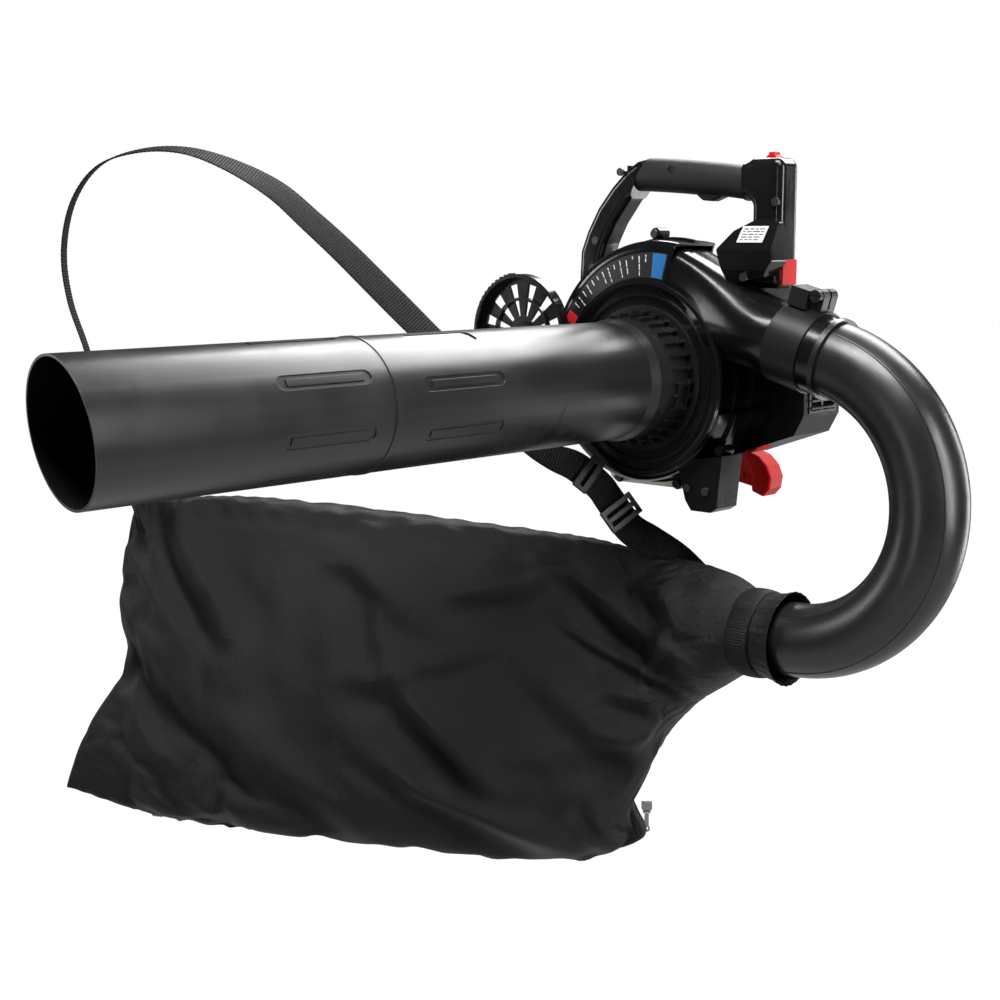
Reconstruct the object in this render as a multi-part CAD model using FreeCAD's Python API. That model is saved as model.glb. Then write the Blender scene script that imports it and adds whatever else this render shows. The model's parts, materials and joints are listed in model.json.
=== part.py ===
import FreeCAD, Part
import math
import os
from FreeCAD import Vector

# Petrol leaf blower set up as a vacuum: fan housing, engine, handle, vacuum tubes, elbow, bag, strap.
# Millimetres. The model is drawn about the fan: the Y axis is the fan's axis with the inlet
# towards -Y, +X is the outlet side, +Z is up. Every solid is then moved so that the origin is
# the middle of the hand grip.

GRIP_CENTRE = Vector(20, 17, 217)

# Fan housing
WALL = 3.0
FACE_Y = -30.0              # front face of the housing
SEAM_Y = 8.0                # where the two housing shells meet
BACK_Y = 46.0               # rear face of the housing
SCROLL_START = -20.0        # degrees; the scroll opens clockwise as seen from the inlet
SCROLL_SWEEP = 266.0
SCROLL_R0 = 104.0
SCROLL_R1 = 153.0
INLET_R = 60.0
RIM_ROUND = 11.0            # rounding of the front face's outer edge
RIDGE_R = 105.0             # round ridge on the front face
DUCT_TILT = math.radians(16)
DUCT_OFFSET = 90.0          # from the fan axis to the duct's centre line
DUCT_R = 42.0
DUCT_END = 205.0            # along the duct, from the point nearest the fan axis
LOFT_END = 153.0            # the duct is a plain tube from here on, under the clamp

# Vacuum tubes, on the fan axis
TUBE_R = 63.5
TUBE_WALL = 2.2
TUBE_JOINT_Y = -464.0
TUBE_TIP_Y = -776.0
TIP_SLOPE_X = 0.18          # how far the mouth leans, per millimetre across and up
TIP_SLOPE_Z = 0.14
FLARE_Y = -67.0
FIT_GAP = 0.3

# Elbow and bag
ELBOW_R = 39.7
ELBOW_WALL = 2.2
ELBOW_BEND = 153.0
ELBOW_CENTRE = Vector(187.3, 0, -119)
ELBOW_END_X = 112.0
BAG_DIRECTION = Vector(-0.74, -0.67, 0)     # the bag and the strap hang in this vertical plane
BAG_NORMAL = Vector(0.67, -0.74, 0)

# Engine, on the fan axis behind the housing
SHAFT_R = 6.95
BEARING_R = 14.0
CASE_R = 38.0
BORE_Y = 73.0               # cylinder axis, along +X
PISTON_R = 17.9
FIN_R = 37.0
ROPE_Y = 129.0
PULLEY_R = 30.0

# Handle
HANDLE_Y0 = 0.0
HANDLE_Y1 = 34.0
HANDLE_MID = 17.0
HANDLE_WALL = 3.0

duct_along = Vector(math.cos(DUCT_TILT), 0, -math.sin(DUCT_TILT))
duct_out = Vector(math.sin(DUCT_TILT), 0, math.cos(DUCT_TILT))
Y_AXIS = Vector(0, 1, 0)
Z_AXIS = Vector(0, 0, 1)


# ---------------------------------------------------------------- helpers

def save(name, shape):
    moved = shape.copy()
    moved.translate(GRIP_CENTRE * -1)
    moved.exportStep("parts/" + name + ".step")
    box = moved.BoundBox
    print("%-20s solids %2d  valid %s  volume %9.0f  x %7.1f..%7.1f  y %7.1f..%7.1f  z %7.1f..%7.1f" % (
        name, len(moved.Solids), moved.isValid(), moved.Volume,
        box.XMin, box.XMax, box.YMin, box.YMax, box.ZMin, box.ZMax))


def box(x0, x1, y0, y1, z0, z1):
    return Part.makeBox(x1 - x0, y1 - y0, z1 - z0, Vector(x0, y0, z0))


def rod(start, end, radius):
    along = end - start
    return Part.makeCylinder(radius, along.Length, start, along)


def disc(radius, y0, y1, x=0.0, z=0.0):
    return Part.makeCylinder(radius, y1 - y0, Vector(x, y0, z), Y_AXIS)


def ring(outer, inner, y0, y1, x=0.0, z=0.0):
    return disc(outer, y0, y1, x, z).cut(disc(inner, y0, y1, x, z))


def cone(r0, r1, y0, y1):
    return Part.makeCone(r0, r1, y1 - y0, Vector(0, y0, 0), Y_AXIS)


def outline(points, y0, y1):
    """Prism along Y of an outline given as (x, z) points."""
    corners = [Vector(x, y0, z) for x, z in points]
    face = Part.Face(Part.makePolygon(corners + corners[:1]))
    return face.extrude(Vector(0, y1 - y0, 0))


def rounded_prism(points, y0, y1, corner, rim):
    """Prism of an outline, with its corners and then its rims rounded."""
    solid = outline(points, y0, y1)
    solid = solid.makeFillet(corner, [e for e in solid.Edges if e.BoundBox.YLength > 1])
    return solid.makeFillet(rim, [e for e in solid.Edges if e.BoundBox.YLength < 0.01])


def fuse(shapes):
    return shapes[0].multiFuse(shapes[1:]).removeSplitter()


def group(shapes):
    return Part.makeCompound(shapes)


def turned(shape, degrees):
    copy = shape.copy()
    copy.rotate(Vector(0, 0, 0), Y_AXIS, degrees)
    return copy


def polar(radius, degrees, y=0.0):
    angle = math.radians(degrees)
    return Vector(radius * math.cos(angle), y, radius * math.sin(angle))


def on_duct(s, t=0.0, y=0.0):
    """Point s along the duct from its foot and t outwards from its centre line."""
    return duct_out * (DUCT_OFFSET + t) + duct_along * s + Vector(0, y, 0)


def in_bag_plane(s, z, out=0.0):
    return BAG_DIRECTION * s + BAG_NORMAL * out + Vector(0, 0, z)


def loop(centre, half_a, half_b, power=2.0, count=24):
    """Closed smooth curve between an ellipse (power 2) and a rounded rectangle."""
    points = []
    for i in range(count):
        angle = 2 * math.pi * i / count
        c, s = math.cos(angle), math.sin(angle)
        a = math.copysign(abs(c) ** (2 / power), c)
        b = math.copysign(abs(s) ** (2 / power), s)
        points.append(centre + half_a * a + half_b * b)
    curve = Part.BSplineCurve()
    curve.interpolate(points, PeriodicFlag=True)
    return Part.Wire(curve.toShape())


def screw(tip, head_at, shank, head, head_length=3.5):
    axis = (head_at - tip).normalize()
    return fuse([rod(tip, head_at, shank), rod(head_at, head_at + axis * head_length, head)])


# ---------------------------------------------------------------- fan housing

def scroll_radius(degrees_swept):
    return SCROLL_R0 + (SCROLL_R1 - SCROLL_R0) * degrees_swept / SCROLL_SWEEP


def scroll(offset, y0, y1, front_round=0):
    """The scroll's outline, grown by offset, as a prism with its front rim rounded."""
    steps = 18
    rim = []
    for i in range(steps + 1):
        swept = SCROLL_SWEEP * i / steps
        rim.append(polar(scroll_radius(swept) + offset, SCROLL_START - swept, y0))
    curve = Part.BSplineCurve()
    curve.interpolate(rim)
    middle = Vector(0, y0, 0)
    edges = [curve.toShape(), Part.makeLine(rim[-1], middle), Part.makeLine(middle, rim[0])]
    prism = Part.Face(Part.Wire(edges)).extrude(Vector(0, y1 - y0, 0))
    if front_round:
        rims = [e for e in prism.Edges if e.BoundBox.YMax < y0 + 0.1 and e.Length > 300]
        prism = prism.makeFillet(front_round, rims)
    return prism.fuse(disc(SCROLL_R0 + offset - 6, y0, y1))


def duct_body(offset, reach):
    """Outlet duct: nearly square where it leaves the scroll, round at the elbow."""
    radius = DUCT_R + offset
    half_depth = (BACK_Y - FACE_Y) / 2 + offset
    middle_y = (BACK_Y + FACE_Y) / 2
    wires = [
        loop(on_duct(-14, 8, middle_y), duct_out * (49 + offset), Y_AXIS * (half_depth - 1), 5),
        loop(on_duct(50, 4, middle_y * 0.7), duct_out * (45 + offset), Y_AXIS * half_depth, 3.5),
        loop(on_duct(100), duct_out * radius, Y_AXIS * radius, 2),
        loop(on_duct(LOFT_END), duct_out * (radius - 0.9), Y_AXIS * (radius - 0.9), 2),
    ]
    return Part.makeLoft(wires, True, False).fuse(rod(on_duct(LOFT_END - 4), on_duct(reach), radius))


def housing_shell():
    """Scroll and duct as one wall, with the flange round the seam, and the solids it fills."""
    scroll_outer = scroll(0, FACE_Y, BACK_Y, RIM_ROUND).Solids[0]
    scroll_room = scroll(-WALL, FACE_Y + WALL, BACK_Y - WALL, RIM_ROUND - WALL).Solids[0]
    duct_outer = duct_body(0, DUCT_END)
    duct_room = duct_body(-WALL, DUCT_END + 1)
    scroll_wall = scroll_outer.cut(scroll_room).cut(duct_room)
    duct_wall = duct_outer.cut(duct_room).cut(scroll_room)
    flange = scroll(3.5, SEAM_Y - 2, SEAM_Y + 2).Solids[0].cut(scroll_outer).cut(duct_outer)
    shell = scroll_wall.fuse(duct_wall).fuse(flange)
    return shell, [scroll_outer, duct_outer, flange]


def boss_angles():
    return [92, 128, 170, 208, 246, 284, 318]


def boss_centre(degrees):
    swept = (SCROLL_START - degrees) % 360
    return polar(scroll_radius(swept) + 8, degrees)


def housing_bosses():
    bosses = []
    for angle in boss_angles():
        at = boss_centre(angle)
        bosses.append(disc(6.5, SEAM_Y - 9, SEAM_Y + 9, at.x, at.z))
    return bosses


def housing_halves(shell, filled):
    for boss in housing_bosses():
        for solid in filled[:2]:
            boss = boss.cut(solid)
        shell = shell.fuse(boss)
    shell = shell.cut(disc(INLET_R, FACE_Y - 1, FACE_Y + WALL + 1))
    shell = shell.cut(disc(BEARING_R - 3, BACK_Y - WALL - 1, BACK_Y + 1))
    for angle in boss_angles():
        at = boss_centre(angle)
        shell = shell.cut(disc(2.2, SEAM_Y - 10, SEAM_Y + 8, at.x, at.z))
    front = shell.common(box(-300, 400, -200, SEAM_Y, -300, 300))
    rear = shell.common(box(-300, 400, SEAM_Y, 200, -300, 300))
    ridge = ring(RIDGE_R + 3, RIDGE_R - 2, FACE_Y - 6, FACE_Y)
    lip = ring(RIDGE_R - 12, RIDGE_R - 15, FACE_Y - 3, FACE_Y)
    return front.fuse(ridge.cut(filled[1])).fuse(lip), rear


def shell_screws():
    screws = []
    for angle in boss_angles():
        at = boss_centre(angle)
        screws.append(screw(Vector(at.x, SEAM_Y + 8, at.z), Vector(at.x, SEAM_Y - 9, at.z), 2.2, 4.6))
    return group(screws)


def inlet_collar():
    sleeve = cone(66.2, 69.5, FLARE_Y, FACE_Y).cut(disc(INLET_R + FIT_GAP, FLARE_Y - 1, FACE_Y + 1))
    foot = ring(80, 68, FACE_Y - 3, FACE_Y)
    fins = []
    for i in range(30):
        step = box(67, 74, FACE_Y - 11, FACE_Y - 3, -2.2, 2.2)
        rib = box(66, 71.5, FLARE_Y + 5, FACE_Y - 3, -1.2, 1.2)
        fins.append(turned(fuse([step, rib]), i * 12))
    latch = turned(box(66, 72, -58, -38, -14, 14), 12)
    window = turned(box(69, 73, -54, -42, -10, 10), 12)
    collar = fuse([sleeve, foot, latch] + fins)
    return collar.cut(window).cut(disc(INLET_R + FIT_GAP, FLARE_Y - 1, FACE_Y + 1))


# ---------------------------------------------------------------- inlet door

DOOR_R = 68.0
DOOR_ANGLE = 164.6          # direction from the fan axis to the open door
HINGE_REACH = 84.0
DOOR_Y = -47.0              # hinge axis
door_centre = polar(2 * HINGE_REACH - 2, DOOR_ANGLE)


def door_local(shape):
    """Turns a shape drawn with the door centred on the fan axis to the open door's place."""
    moved = shape.copy()
    moved.translate(door_centre)
    return moved


def inlet_door():
    """Open guard door: a shallow dish with a slotted grille, its inside towards the user."""
    plate = disc(DOOR_R, DOOR_Y - 1, DOOR_Y + 2)
    rim = ring(DOOR_R, DOOR_R - 4, DOOR_Y - 11, DOOR_Y + 2)
    hub = disc(13, DOOR_Y - 6, DOOR_Y + 2)
    slots = []
    for i in range(12):
        slot = outline([(20, -1.8), (57, -6.0), (57, 6.0), (20, 1.8)], DOOR_Y - 2, DOOR_Y + 3)
        slots.append(turned(slot, i * 30 + 15))
    dish = fuse([plate, rim, hub])
    for slot in slots:
        dish = dish.cut(slot)
    brace = ring(41, 38, DOOR_Y - 4, DOOR_Y + 2)
    grips = []
    for i in range(9):
        grip = box(DOOR_R - 1, DOOR_R + 2, DOOR_Y - 9, DOOR_Y + 1, -1.5, 1.5)
        grips.append(turned(grip, -150 + i * 6))
    dish = fuse([dish, brace] + grips)
    knuckle_at = polar(HINGE_REACH, DOOR_ANGLE, DOOR_Y)
    along = polar(1, DOOR_ANGLE + 90)
    knuckle = rod(knuckle_at - along * 12, knuckle_at + along * 12, 4.5)
    inward = polar(1, DOOR_ANGLE)
    arm_start = knuckle_at + inward * 2
    arm = rod(arm_start, arm_start + inward * 20, 4.0)
    door = fuse([door_local(dish), knuckle, arm])
    return door.cut(rod(knuckle_at - along * 20, knuckle_at + along * 20, 2.05))


def door_hinge():
    """Two ears on the housing's face, and the pin through them and the door's knuckle."""
    knuckle_at = polar(HINGE_REACH, DOOR_ANGLE, DOOR_Y)
    along = polar(1, DOOR_ANGLE + 90)
    ears = []
    for side in (-1, 1):
        foot = knuckle_at + along * (side * 12.5)
        ear = rod(foot, foot + along * (side * 6), 4.5)
        post = rod(foot + along * (side * 3), foot + along * (side * 3) + Vector(0, FACE_Y - DOOR_Y, 0), 2.9)
        ears.append(fuse([ear, post]))
    pin = rod(knuckle_at - along * 18.5, knuckle_at + along * 18.5, 2.0)
    bracket = fuse(ears).cut(pin)
    return bracket, pin


# ---------------------------------------------------------------- vacuum tubes

def pill_groove(degrees, y0, y1, half_width, radius, depth):
    """Long pocket with round ends, sunk into a tube's wall."""
    bar = box(radius - depth, radius + 4, y0 + half_width, y1 - half_width, -half_width, half_width)
    ends = [Part.makeCylinder(half_width, depth + 4, Vector(radius - depth, y, 0), Vector(1, 0, 0))
            for y in (y0 + half_width, y1 - half_width)]
    island = box(radius - depth, radius + 4, y0 + 10, y1 - 10, -half_width + 3.5, half_width - 3.5)
    return turned(fuse([bar] + ends).cut(island), -degrees)


def vac_tube_lower():
    tip = TUBE_TIP_Y - 20
    tube = disc(TUBE_R, tip, TUBE_JOINT_Y).cut(disc(TUBE_R - TUBE_WALL, tip - 1, TUBE_JOINT_Y + 1))
    bead = ring(TUBE_R + 0.8, TUBE_R - 1, TUBE_JOINT_Y - 5, TUBE_JOINT_Y)
    cutter = box(-90, 90, -120, 0, -90, 90)
    cutter.rotate(Vector(0, 0, 0), Z_AXIS, -math.degrees(math.atan(TIP_SLOPE_X)))
    cutter.rotate(Vector(0, 0, 0), Vector(1, 0, 0), math.degrees(math.atan(TIP_SLOPE_Z)))
    cutter.translate(Vector(0, TUBE_TIP_Y, 0))
    tube = fuse([tube, bead]).cut(cutter)
    for angle in (85, 30, -17, -62, 140, -120, 190):
        tube = tube.cut(pill_groove(angle, -600, -492, 7, TUBE_R, 1.1))
    return tube


def vac_tube_upper():
    inner = TUBE_R - 2 * TUBE_WALL
    profile = [(TUBE_R - TUBE_WALL - 0.2, TUBE_JOINT_Y - 36), (TUBE_R - TUBE_WALL - 0.2, TUBE_JOINT_Y),
               (TUBE_R, TUBE_JOINT_Y), (TUBE_R, -95), (66.4, -82), (66.4, FLARE_Y - FIT_GAP),
               (INLET_R, FLARE_Y - FIT_GAP), (INLET_R, -38), (INLET_R - 2, -38), (INLET_R - 2, -75),
               (TUBE_R - TUBE_WALL, -95), (TUBE_R - TUBE_WALL, TUBE_JOINT_Y + 6),
               (inner, TUBE_JOINT_Y), (inner, TUBE_JOINT_Y - 36)]
    corners = [Vector(r, y, 0) for r, y in profile]
    face = Part.Face(Part.makePolygon(corners + corners[:1]))
    tube = face.revolve(Vector(0, 0, 0), Y_AXIS, 360)
    for angle in (19, -24, -70, 140, 190):
        tube = tube.cut(pill_groove(angle, -430, -322, 7, TUBE_R, 1.1))
    latch = outline_on_tube([(-11, -410), (-6, -416), (6, -416), (11, -410), (11, -332), (6, -326),
                             (-6, -326), (-11, -332)], 70, 1.6)
    return tube.cut(latch)


def outline_on_tube(points, degrees, depth):
    """Cutter for a pocket whose outline is (across, along) on the tube's wall."""
    corners = [Vector(TUBE_R - depth, y, z) for z, y in points]
    face = Part.Face(Part.makePolygon(corners + corners[:1]))
    return turned(face.extrude(Vector(depth + 5, 0, 0)), -degrees)


# ---------------------------------------------------------------- elbow, clamp and bag

def bend(section_radius, start_degrees, sweep_degrees, out=0.0, side=0.0):
    """Round bar bent about the elbow's centre, offset outwards and sideways from its line."""
    start = math.radians(start_degrees)
    reach = ELBOW_BEND + out
    at = ELBOW_CENTRE + Vector(reach * math.cos(start), side, reach * math.sin(start))
    tangent = Vector(-math.sin(start), 0, math.cos(start))
    face = Part.Face(Part.Wire(Part.Circle(at, tangent, section_radius).toShape()))
    return face.revolve(ELBOW_CENTRE, Y_AXIS, sweep_degrees)


def elbow_shape(radius, tail_x):
    start = 90 - math.degrees(DUCT_TILT)
    curve = bend(radius, start, start + 90)
    bottom_z = ELBOW_CENTRE.z - ELBOW_BEND
    tail = rod(Vector(tail_x, 0, bottom_z), Vector(ELBOW_CENTRE.x, 0, bottom_z), radius)
    return curve, tail


def elbow_tube():
    start = 90 - math.degrees(DUCT_TILT)
    curve, tail = elbow_shape(ELBOW_R, ELBOW_END_X)
    top = on_duct(DUCT_END + 8)
    spigot = rod(on_duct(DUCT_END - 28), top, DUCT_R - WALL - FIT_GAP)
    collar = rod(on_duct(DUCT_END), on_duct(DUCT_END + 6), DUCT_R + 1.5)
    mould_lines = []
    for angle in (40, 140):
        out = math.cos(math.radians(angle)) * ELBOW_R
        side = -math.sin(math.radians(angle)) * ELBOW_R
        mould_lines.append(bend(0.9, start, start + 90, out, side))
    body = fuse([curve, tail, spigot, collar] + mould_lines)
    inner_curve, inner_tail = elbow_shape(ELBOW_R - ELBOW_WALL, ELBOW_END_X - 1)
    inner_spigot = rod(on_duct(DUCT_END - 29), top, DUCT_R - WALL - FIT_GAP - ELBOW_WALL)
    return body.cut(fuse([inner_curve, inner_tail, inner_spigot]))


def along_duct(shape, s, t, y):
    """Places a shape drawn about the origin at a point of the duct, turned with it."""
    moved = shape.copy()
    moved.rotate(Vector(0, 0, 0), Y_AXIS, math.degrees(DUCT_TILT))
    moved.translate(on_duct(s, t, y))
    return moved


CLAMP_LUGS = DUCT_END - 26.0    # along the duct
CLAMP_SCREW_AT = on_duct(CLAMP_LUGS, DUCT_R + 17)


def duct_clamp():
    """Band round the end of the duct, with the latch box and the lugs that its screw closes."""
    band = rod(on_duct(DUCT_END - 58), on_duct(DUCT_END - 16), DUCT_R + 2.2)
    latch = along_duct(box(-11, 11, -16, 14, 0, 20), DUCT_END - 45, DUCT_R, -4)
    lugs = along_duct(box(-7, 7, -13, 13, 0, 17), CLAMP_LUGS, DUCT_R, 0)
    eyes = along_duct(Part.makeCylinder(7, 26, Vector(0, -13, 17), Y_AXIS), CLAMP_LUGS, DUCT_R, 0)
    gap = along_duct(box(-8, 8, -1.5, 1.5, 4, 30), CLAMP_LUGS, DUCT_R, 0)
    body = fuse([band, latch, lugs, eyes])
    body = body.cut(rod(on_duct(DUCT_END - 59), on_duct(DUCT_END - 15), DUCT_R))
    hole = rod(CLAMP_SCREW_AT + Vector(0, -40, 0), CLAMP_SCREW_AT + Vector(0, 40, 0), 2.6)
    return body.cut(gap).cut(hole)


def clamp_screw():
    head_at = CLAMP_SCREW_AT + Vector(0, -13.3, 0)
    knob = rod(head_at, head_at + Vector(0, -7, 0), 6.5)
    slot = box(-8, 8, -2.5, 0, -0.9, 0.9)
    slot.translate(head_at + Vector(0, -6.9 + 1, 0))
    shank = rod(head_at, head_at + Vector(0, 32, 0), 2.55)
    return fuse([knob, shank]).cut(slot)


ZIP_AT = in_bag_plane(6, -500)


def bag():
    """Soft bag: round at the cuff, then tall and flat, closed along its far end."""
    bottom_z = ELBOW_CENTRE.z - ELBOW_BEND
    stations = [
        # x, y, turn of the section in degrees, lowest z, highest z, half thickness, lean, squareness
        (198, 0, 0, bottom_z - 50, bottom_z + 50, 50, 0, 2.0),
        (166, 0, 0, bottom_z - 46, bottom_z + 46, 46, 0, 2.0),
        (138, 0, 0, bottom_z - 46, bottom_z + 46, 46, 0, 2.0),
        (104, 0, 0, -345, -212, 56, 0, 2.0),
        (52, 2, 12, -374, -206, 60, 0, 2.1),
        (4, -8, 28, -432, -200, 60, -8, 2.2),
        (-38, -34, 42, -543, -186, 60, -14, 2.5),
        (-110, -99, 42, -556, -174, 66, 0, 2.6),
        (-222, -201, 42, -536, -154, 68, 0, 2.6),
        (-333, -301, 42, -526, -138, 56, 4, 2.6),
        (-414, -375, 42, -509, -137, 34, 24, 2.6),
        (-467, -423, 42, -478, -142, 6, 44, 2.8),
    ]
    wires = []
    for x, y, turn, low, high, half, lean, power in stations:
        angle = math.radians(turn)
        across = Vector(math.sin(angle), -math.cos(angle), 0) * half
        upright = Vector(0, 0, (high - low) / 2) - BAG_DIRECTION * lean
        wires.append(loop(Vector(x, y, (low + high) / 2), across, upright, power))
    body = Part.makeLoft(wires, True, False)
    curve, tail = elbow_shape(ELBOW_R, ELBOW_END_X)
    return body.cut(tail).cut(curve)


def zipper():
    """Zip slider at the bag's lower near corner, and the pull tab that hangs from its pin."""
    body = box(-6, 6, -4, 4, -4, 4)
    ears = [box(x, x + 1.5, -2, 2, -9, -3) for x in (-4.5, 3.0)]
    pin = rod(Vector(-4.5, 0, -7), Vector(4.5, 0, -7), 1.5)
    slider = fuse([body, pin] + ears)
    eye = rod(Vector(-2.5, 0, -7), Vector(2.5, 0, -7), 3.0)
    tab = fuse([eye, box(-2.5, 2.5, -1, 1, -28, -8), rod(Vector(0, -1, -28), Vector(0, 1, -28), 4)])
    tab = tab.cut(rod(Vector(-5, 0, -7), Vector(5, 0, -7), 1.55))
    tab = tab.cut(rod(Vector(0, -3, -28), Vector(0, 3, -28), 2))
    for shape in (slider, tab):
        shape.rotate(Vector(0, 0, 0), Z_AXIS, math.degrees(math.atan2(-BAG_DIRECTION.y, -BAG_DIRECTION.x)))
        shape.translate(ZIP_AT)
    return slider, tab


# ---------------------------------------------------------------- strap

STRAP_WIDTH = 38.0
STRAP_THICKNESS = 2.4
# Along the hanging plane, up, out of the plane, and the webbing's turn: 0 is edge-on, 90 face-on
STRAP_ROUTE = [(596, -128, 6, 6), (618, -50, 10, 6), (635, 27, 12, 6), (653, 85, 10, 6), (658, 140, 8, 6),
               (646, 194, 4, 6), (617, 232, 0, 7), (572, 248, -6, 9), (523, 248, -8, 13), (474, 232, -8, 22),
               (425, 205, -8, 34), (387, 172, -6, 40), (349, 137, -4, 44), (310, 98, -2, 46),
               (277, 65, 0, 48), (190, -28, 4, 52), (118, -90, 8, 56), (92, -101, 8, 57), (66, -122, 8, 60),
               (54, -138, 9, 62), (31, -170, 11, 68), (4, -190, 16, 74), (-24, -203, 28, 72)]
SLIDER_STEP = 17            # which stretch of the route each fitting lies on
BUCKLE_STEP = 19


def ribbon(sections):
    """Closed solid through four-cornered sections, each side split into flat triangles."""
    faces = []
    for first, second in zip(sections, sections[1:]):
        for i in range(4):
            j = (i + 1) % 4
            for corners in ((first[i], first[j], second[j]), (first[i], second[j], second[i])):
                faces.append(Part.Face(Part.makePolygon(list(corners) + [corners[0]])))
    for end in (sections[0], sections[-1]):
        faces.append(Part.Face(Part.makePolygon(end[:3] + [end[0]])))
        faces.append(Part.Face(Part.makePolygon([end[0], end[2], end[3], end[0]])))
    solid = Part.Solid(Part.Shell(faces))
    if solid.Volume < 0:
        solid.reverse()
    return solid


def strap_sections(route):
    centres = [in_bag_plane(s, z, out) for s, z, out, turn in route]
    sections = []
    for i, (s, z, out, turn) in enumerate(route):
        before = centres[max(i - 1, 0)]
        after = centres[min(i + 1, len(centres) - 1)]
        along = (after - before).normalize()
        flat = along.cross(BAG_NORMAL).normalize()
        face_on = flat.cross(along).normalize()
        angle = math.radians(turn)
        wide = face_on * math.cos(angle) + flat * math.sin(angle)
        thin = wide.cross(along).normalize()
        w = wide * (STRAP_WIDTH / 2)
        t = thin * (STRAP_THICKNESS / 2)
        c = centres[i]
        sections.append([c + w + t, c - w + t, c - w - t, c + w - t])
    return sections


def strap_fitting(index, length, width, slots):
    """Flat slotted fitting that lies on the strap's outer side."""
    s, z, out, turn = STRAP_ROUTE[index]
    s2, z2, out2, turn2 = STRAP_ROUTE[index + 1]
    here = in_bag_plane(s, z, out)
    ahead = in_bag_plane(s2, z2, out2)
    along = (ahead - here).normalize()
    corners = strap_sections(STRAP_ROUTE)[index]
    wide = (corners[0] - corners[1]).normalize()
    wide = (wide - along * wide.dot(along)).normalize()
    up = along.cross(wide).normalize()
    if up.dot(BAG_NORMAL) < 0:
        wide = wide * -1
        up = up * -1
    plate = box(-length / 2, length / 2, -width / 2, width / 2, 0, 4)
    for i in range(slots):
        x = (i - (slots - 1) / 2) * length / (slots + 0.6)
        plate = plate.cut(box(x - 2.5, x + 2.5, -width / 2 + 4, width / 2 - 4, -1, 5))
    spot = here + (ahead - here) * 0.5 + up * (STRAP_THICKNESS / 2 + 2.0)
    placement = FreeCAD.Placement(spot, FreeCAD.Rotation(along, wide, up, "XYZ"))
    plate.Placement = placement
    return plate


# ---------------------------------------------------------------- fan and engine

def impeller():
    back_plate = disc(88, 30, 33)
    hub = cone(13, 20, -12, 30)
    blades = []
    for i in range(12):
        blade = outline([(16, -1.5), (88, -14), (89, -11), (16, 2)], -10, 30)
        blades.append(turned(blade, i * 30))
    wheel = fuse([back_plate, hub] + blades)
    return wheel.cut(disc(SHAFT_R, -13, 34))


def impeller_bolt():
    head = outline([(7 * math.cos(math.radians(60 * i)), 7 * math.sin(math.radians(60 * i)))
                    for i in range(6)], -22, -16)
    return fuse([head, disc(10, -16, -14)])


def crankshaft():
    shaft = disc(SHAFT_R, -14, 121)
    webs = [disc(26, 62, 68), disc(26, 78, 84)]
    return fuse([shaft, disc(8, 66, 80)] + webs)


def bearings():
    return (ring(BEARING_R, SHAFT_R + 0.05, 47, 56), ring(BEARING_R, SHAFT_R + 0.05, 90, 99))


def crankcase():
    body = fuse([disc(CASE_R, BACK_Y, 100), box(16, 38, BACK_Y + 4, 96, -26, 26)])
    room = fuse([disc(CASE_R - 9, 60, 87), rod(Vector(0, BORE_Y, 0), Vector(40, BORE_Y, 0), PISTON_R + 0.6)])
    seats = disc(BEARING_R, BACK_Y - 1, 101)
    return body.cut(fuse([room, seats]))


def cylinder_block():
    axis_start = Vector(38, BORE_Y, 0)
    core = rod(axis_start, Vector(98, BORE_Y, 0), 23)
    flange = box(38, 43, BORE_Y - 22, BORE_Y + 22, -26, 26)
    fins = [rod(Vector(x, BORE_Y, 0), Vector(x + 2, BORE_Y, 0), FIN_R) for x in range(48, 100, 6)]
    trim = box(38, 110, BORE_Y - 24, BORE_Y + 26, -FIN_R, FIN_R)
    ports = [box(56, 76, BORE_Y - 10, BORE_Y + 10, 18, 40), box(56, 76, BORE_Y - 10, BORE_Y + 10, -42, -18)]
    body = fuse([core, flange] + fins + ports).common(trim)
    bore = rod(Vector(37, BORE_Y, 0), Vector(92, BORE_Y, 0), PISTON_R + 0.1)
    plug_hole = rod(Vector(90, BORE_Y, 0), Vector(112, BORE_Y, 0), 6)
    passages = [rod(Vector(66, BORE_Y, -50), Vector(66, BORE_Y, 50), 6)]
    return body.cut(fuse([bore, plug_hole] + passages))


def piston():
    body = rod(Vector(56, BORE_Y, 0), Vector(86, BORE_Y, 0), PISTON_R)
    hollow = rod(Vector(55, BORE_Y, 0), Vector(81, BORE_Y, 0), PISTON_R - 3)
    rings = [rod(Vector(x, BORE_Y, 0), Vector(x + 1.5, BORE_Y, 0), PISTON_R + 1) for x in (80, 83)]
    pin = disc(4, BORE_Y - 15.5, BORE_Y + 15.5, 68, 0)
    body = body.cut(hollow)
    for groove in rings:
        body = body.cut(groove.cut(rod(Vector(70, BORE_Y, 0), Vector(90, BORE_Y, 0), PISTON_R - 1)))
    return fuse([body, pin])


def connecting_rod():
    big = ring(13, 8.05, BORE_Y - 3.5, BORE_Y + 3.5)
    small = ring(7.5, 4.05, BORE_Y - 3.5, BORE_Y + 3.5, 68, 0)
    beam = box(11, 62, BORE_Y - 2.5, BORE_Y + 2.5, -4, 4)
    return fuse([big, small, beam])


def spark_plug():
    thread = rod(Vector(93, BORE_Y, 0), Vector(98, BORE_Y, 0), 6)
    seat = rod(Vector(98.2, BORE_Y, 0), Vector(100, BORE_Y, 0), 8.5)
    hexagon = rod(Vector(100, BORE_Y, 0), Vector(107, BORE_Y, 0), 8)
    insulator = rod(Vector(107, BORE_Y, 0), Vector(124, BORE_Y, 0), 4.5)
    return fuse([thread, rod(Vector(97, BORE_Y, 0), Vector(99, BORE_Y, 0), 5.8), seat, hexagon, insulator])


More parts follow.
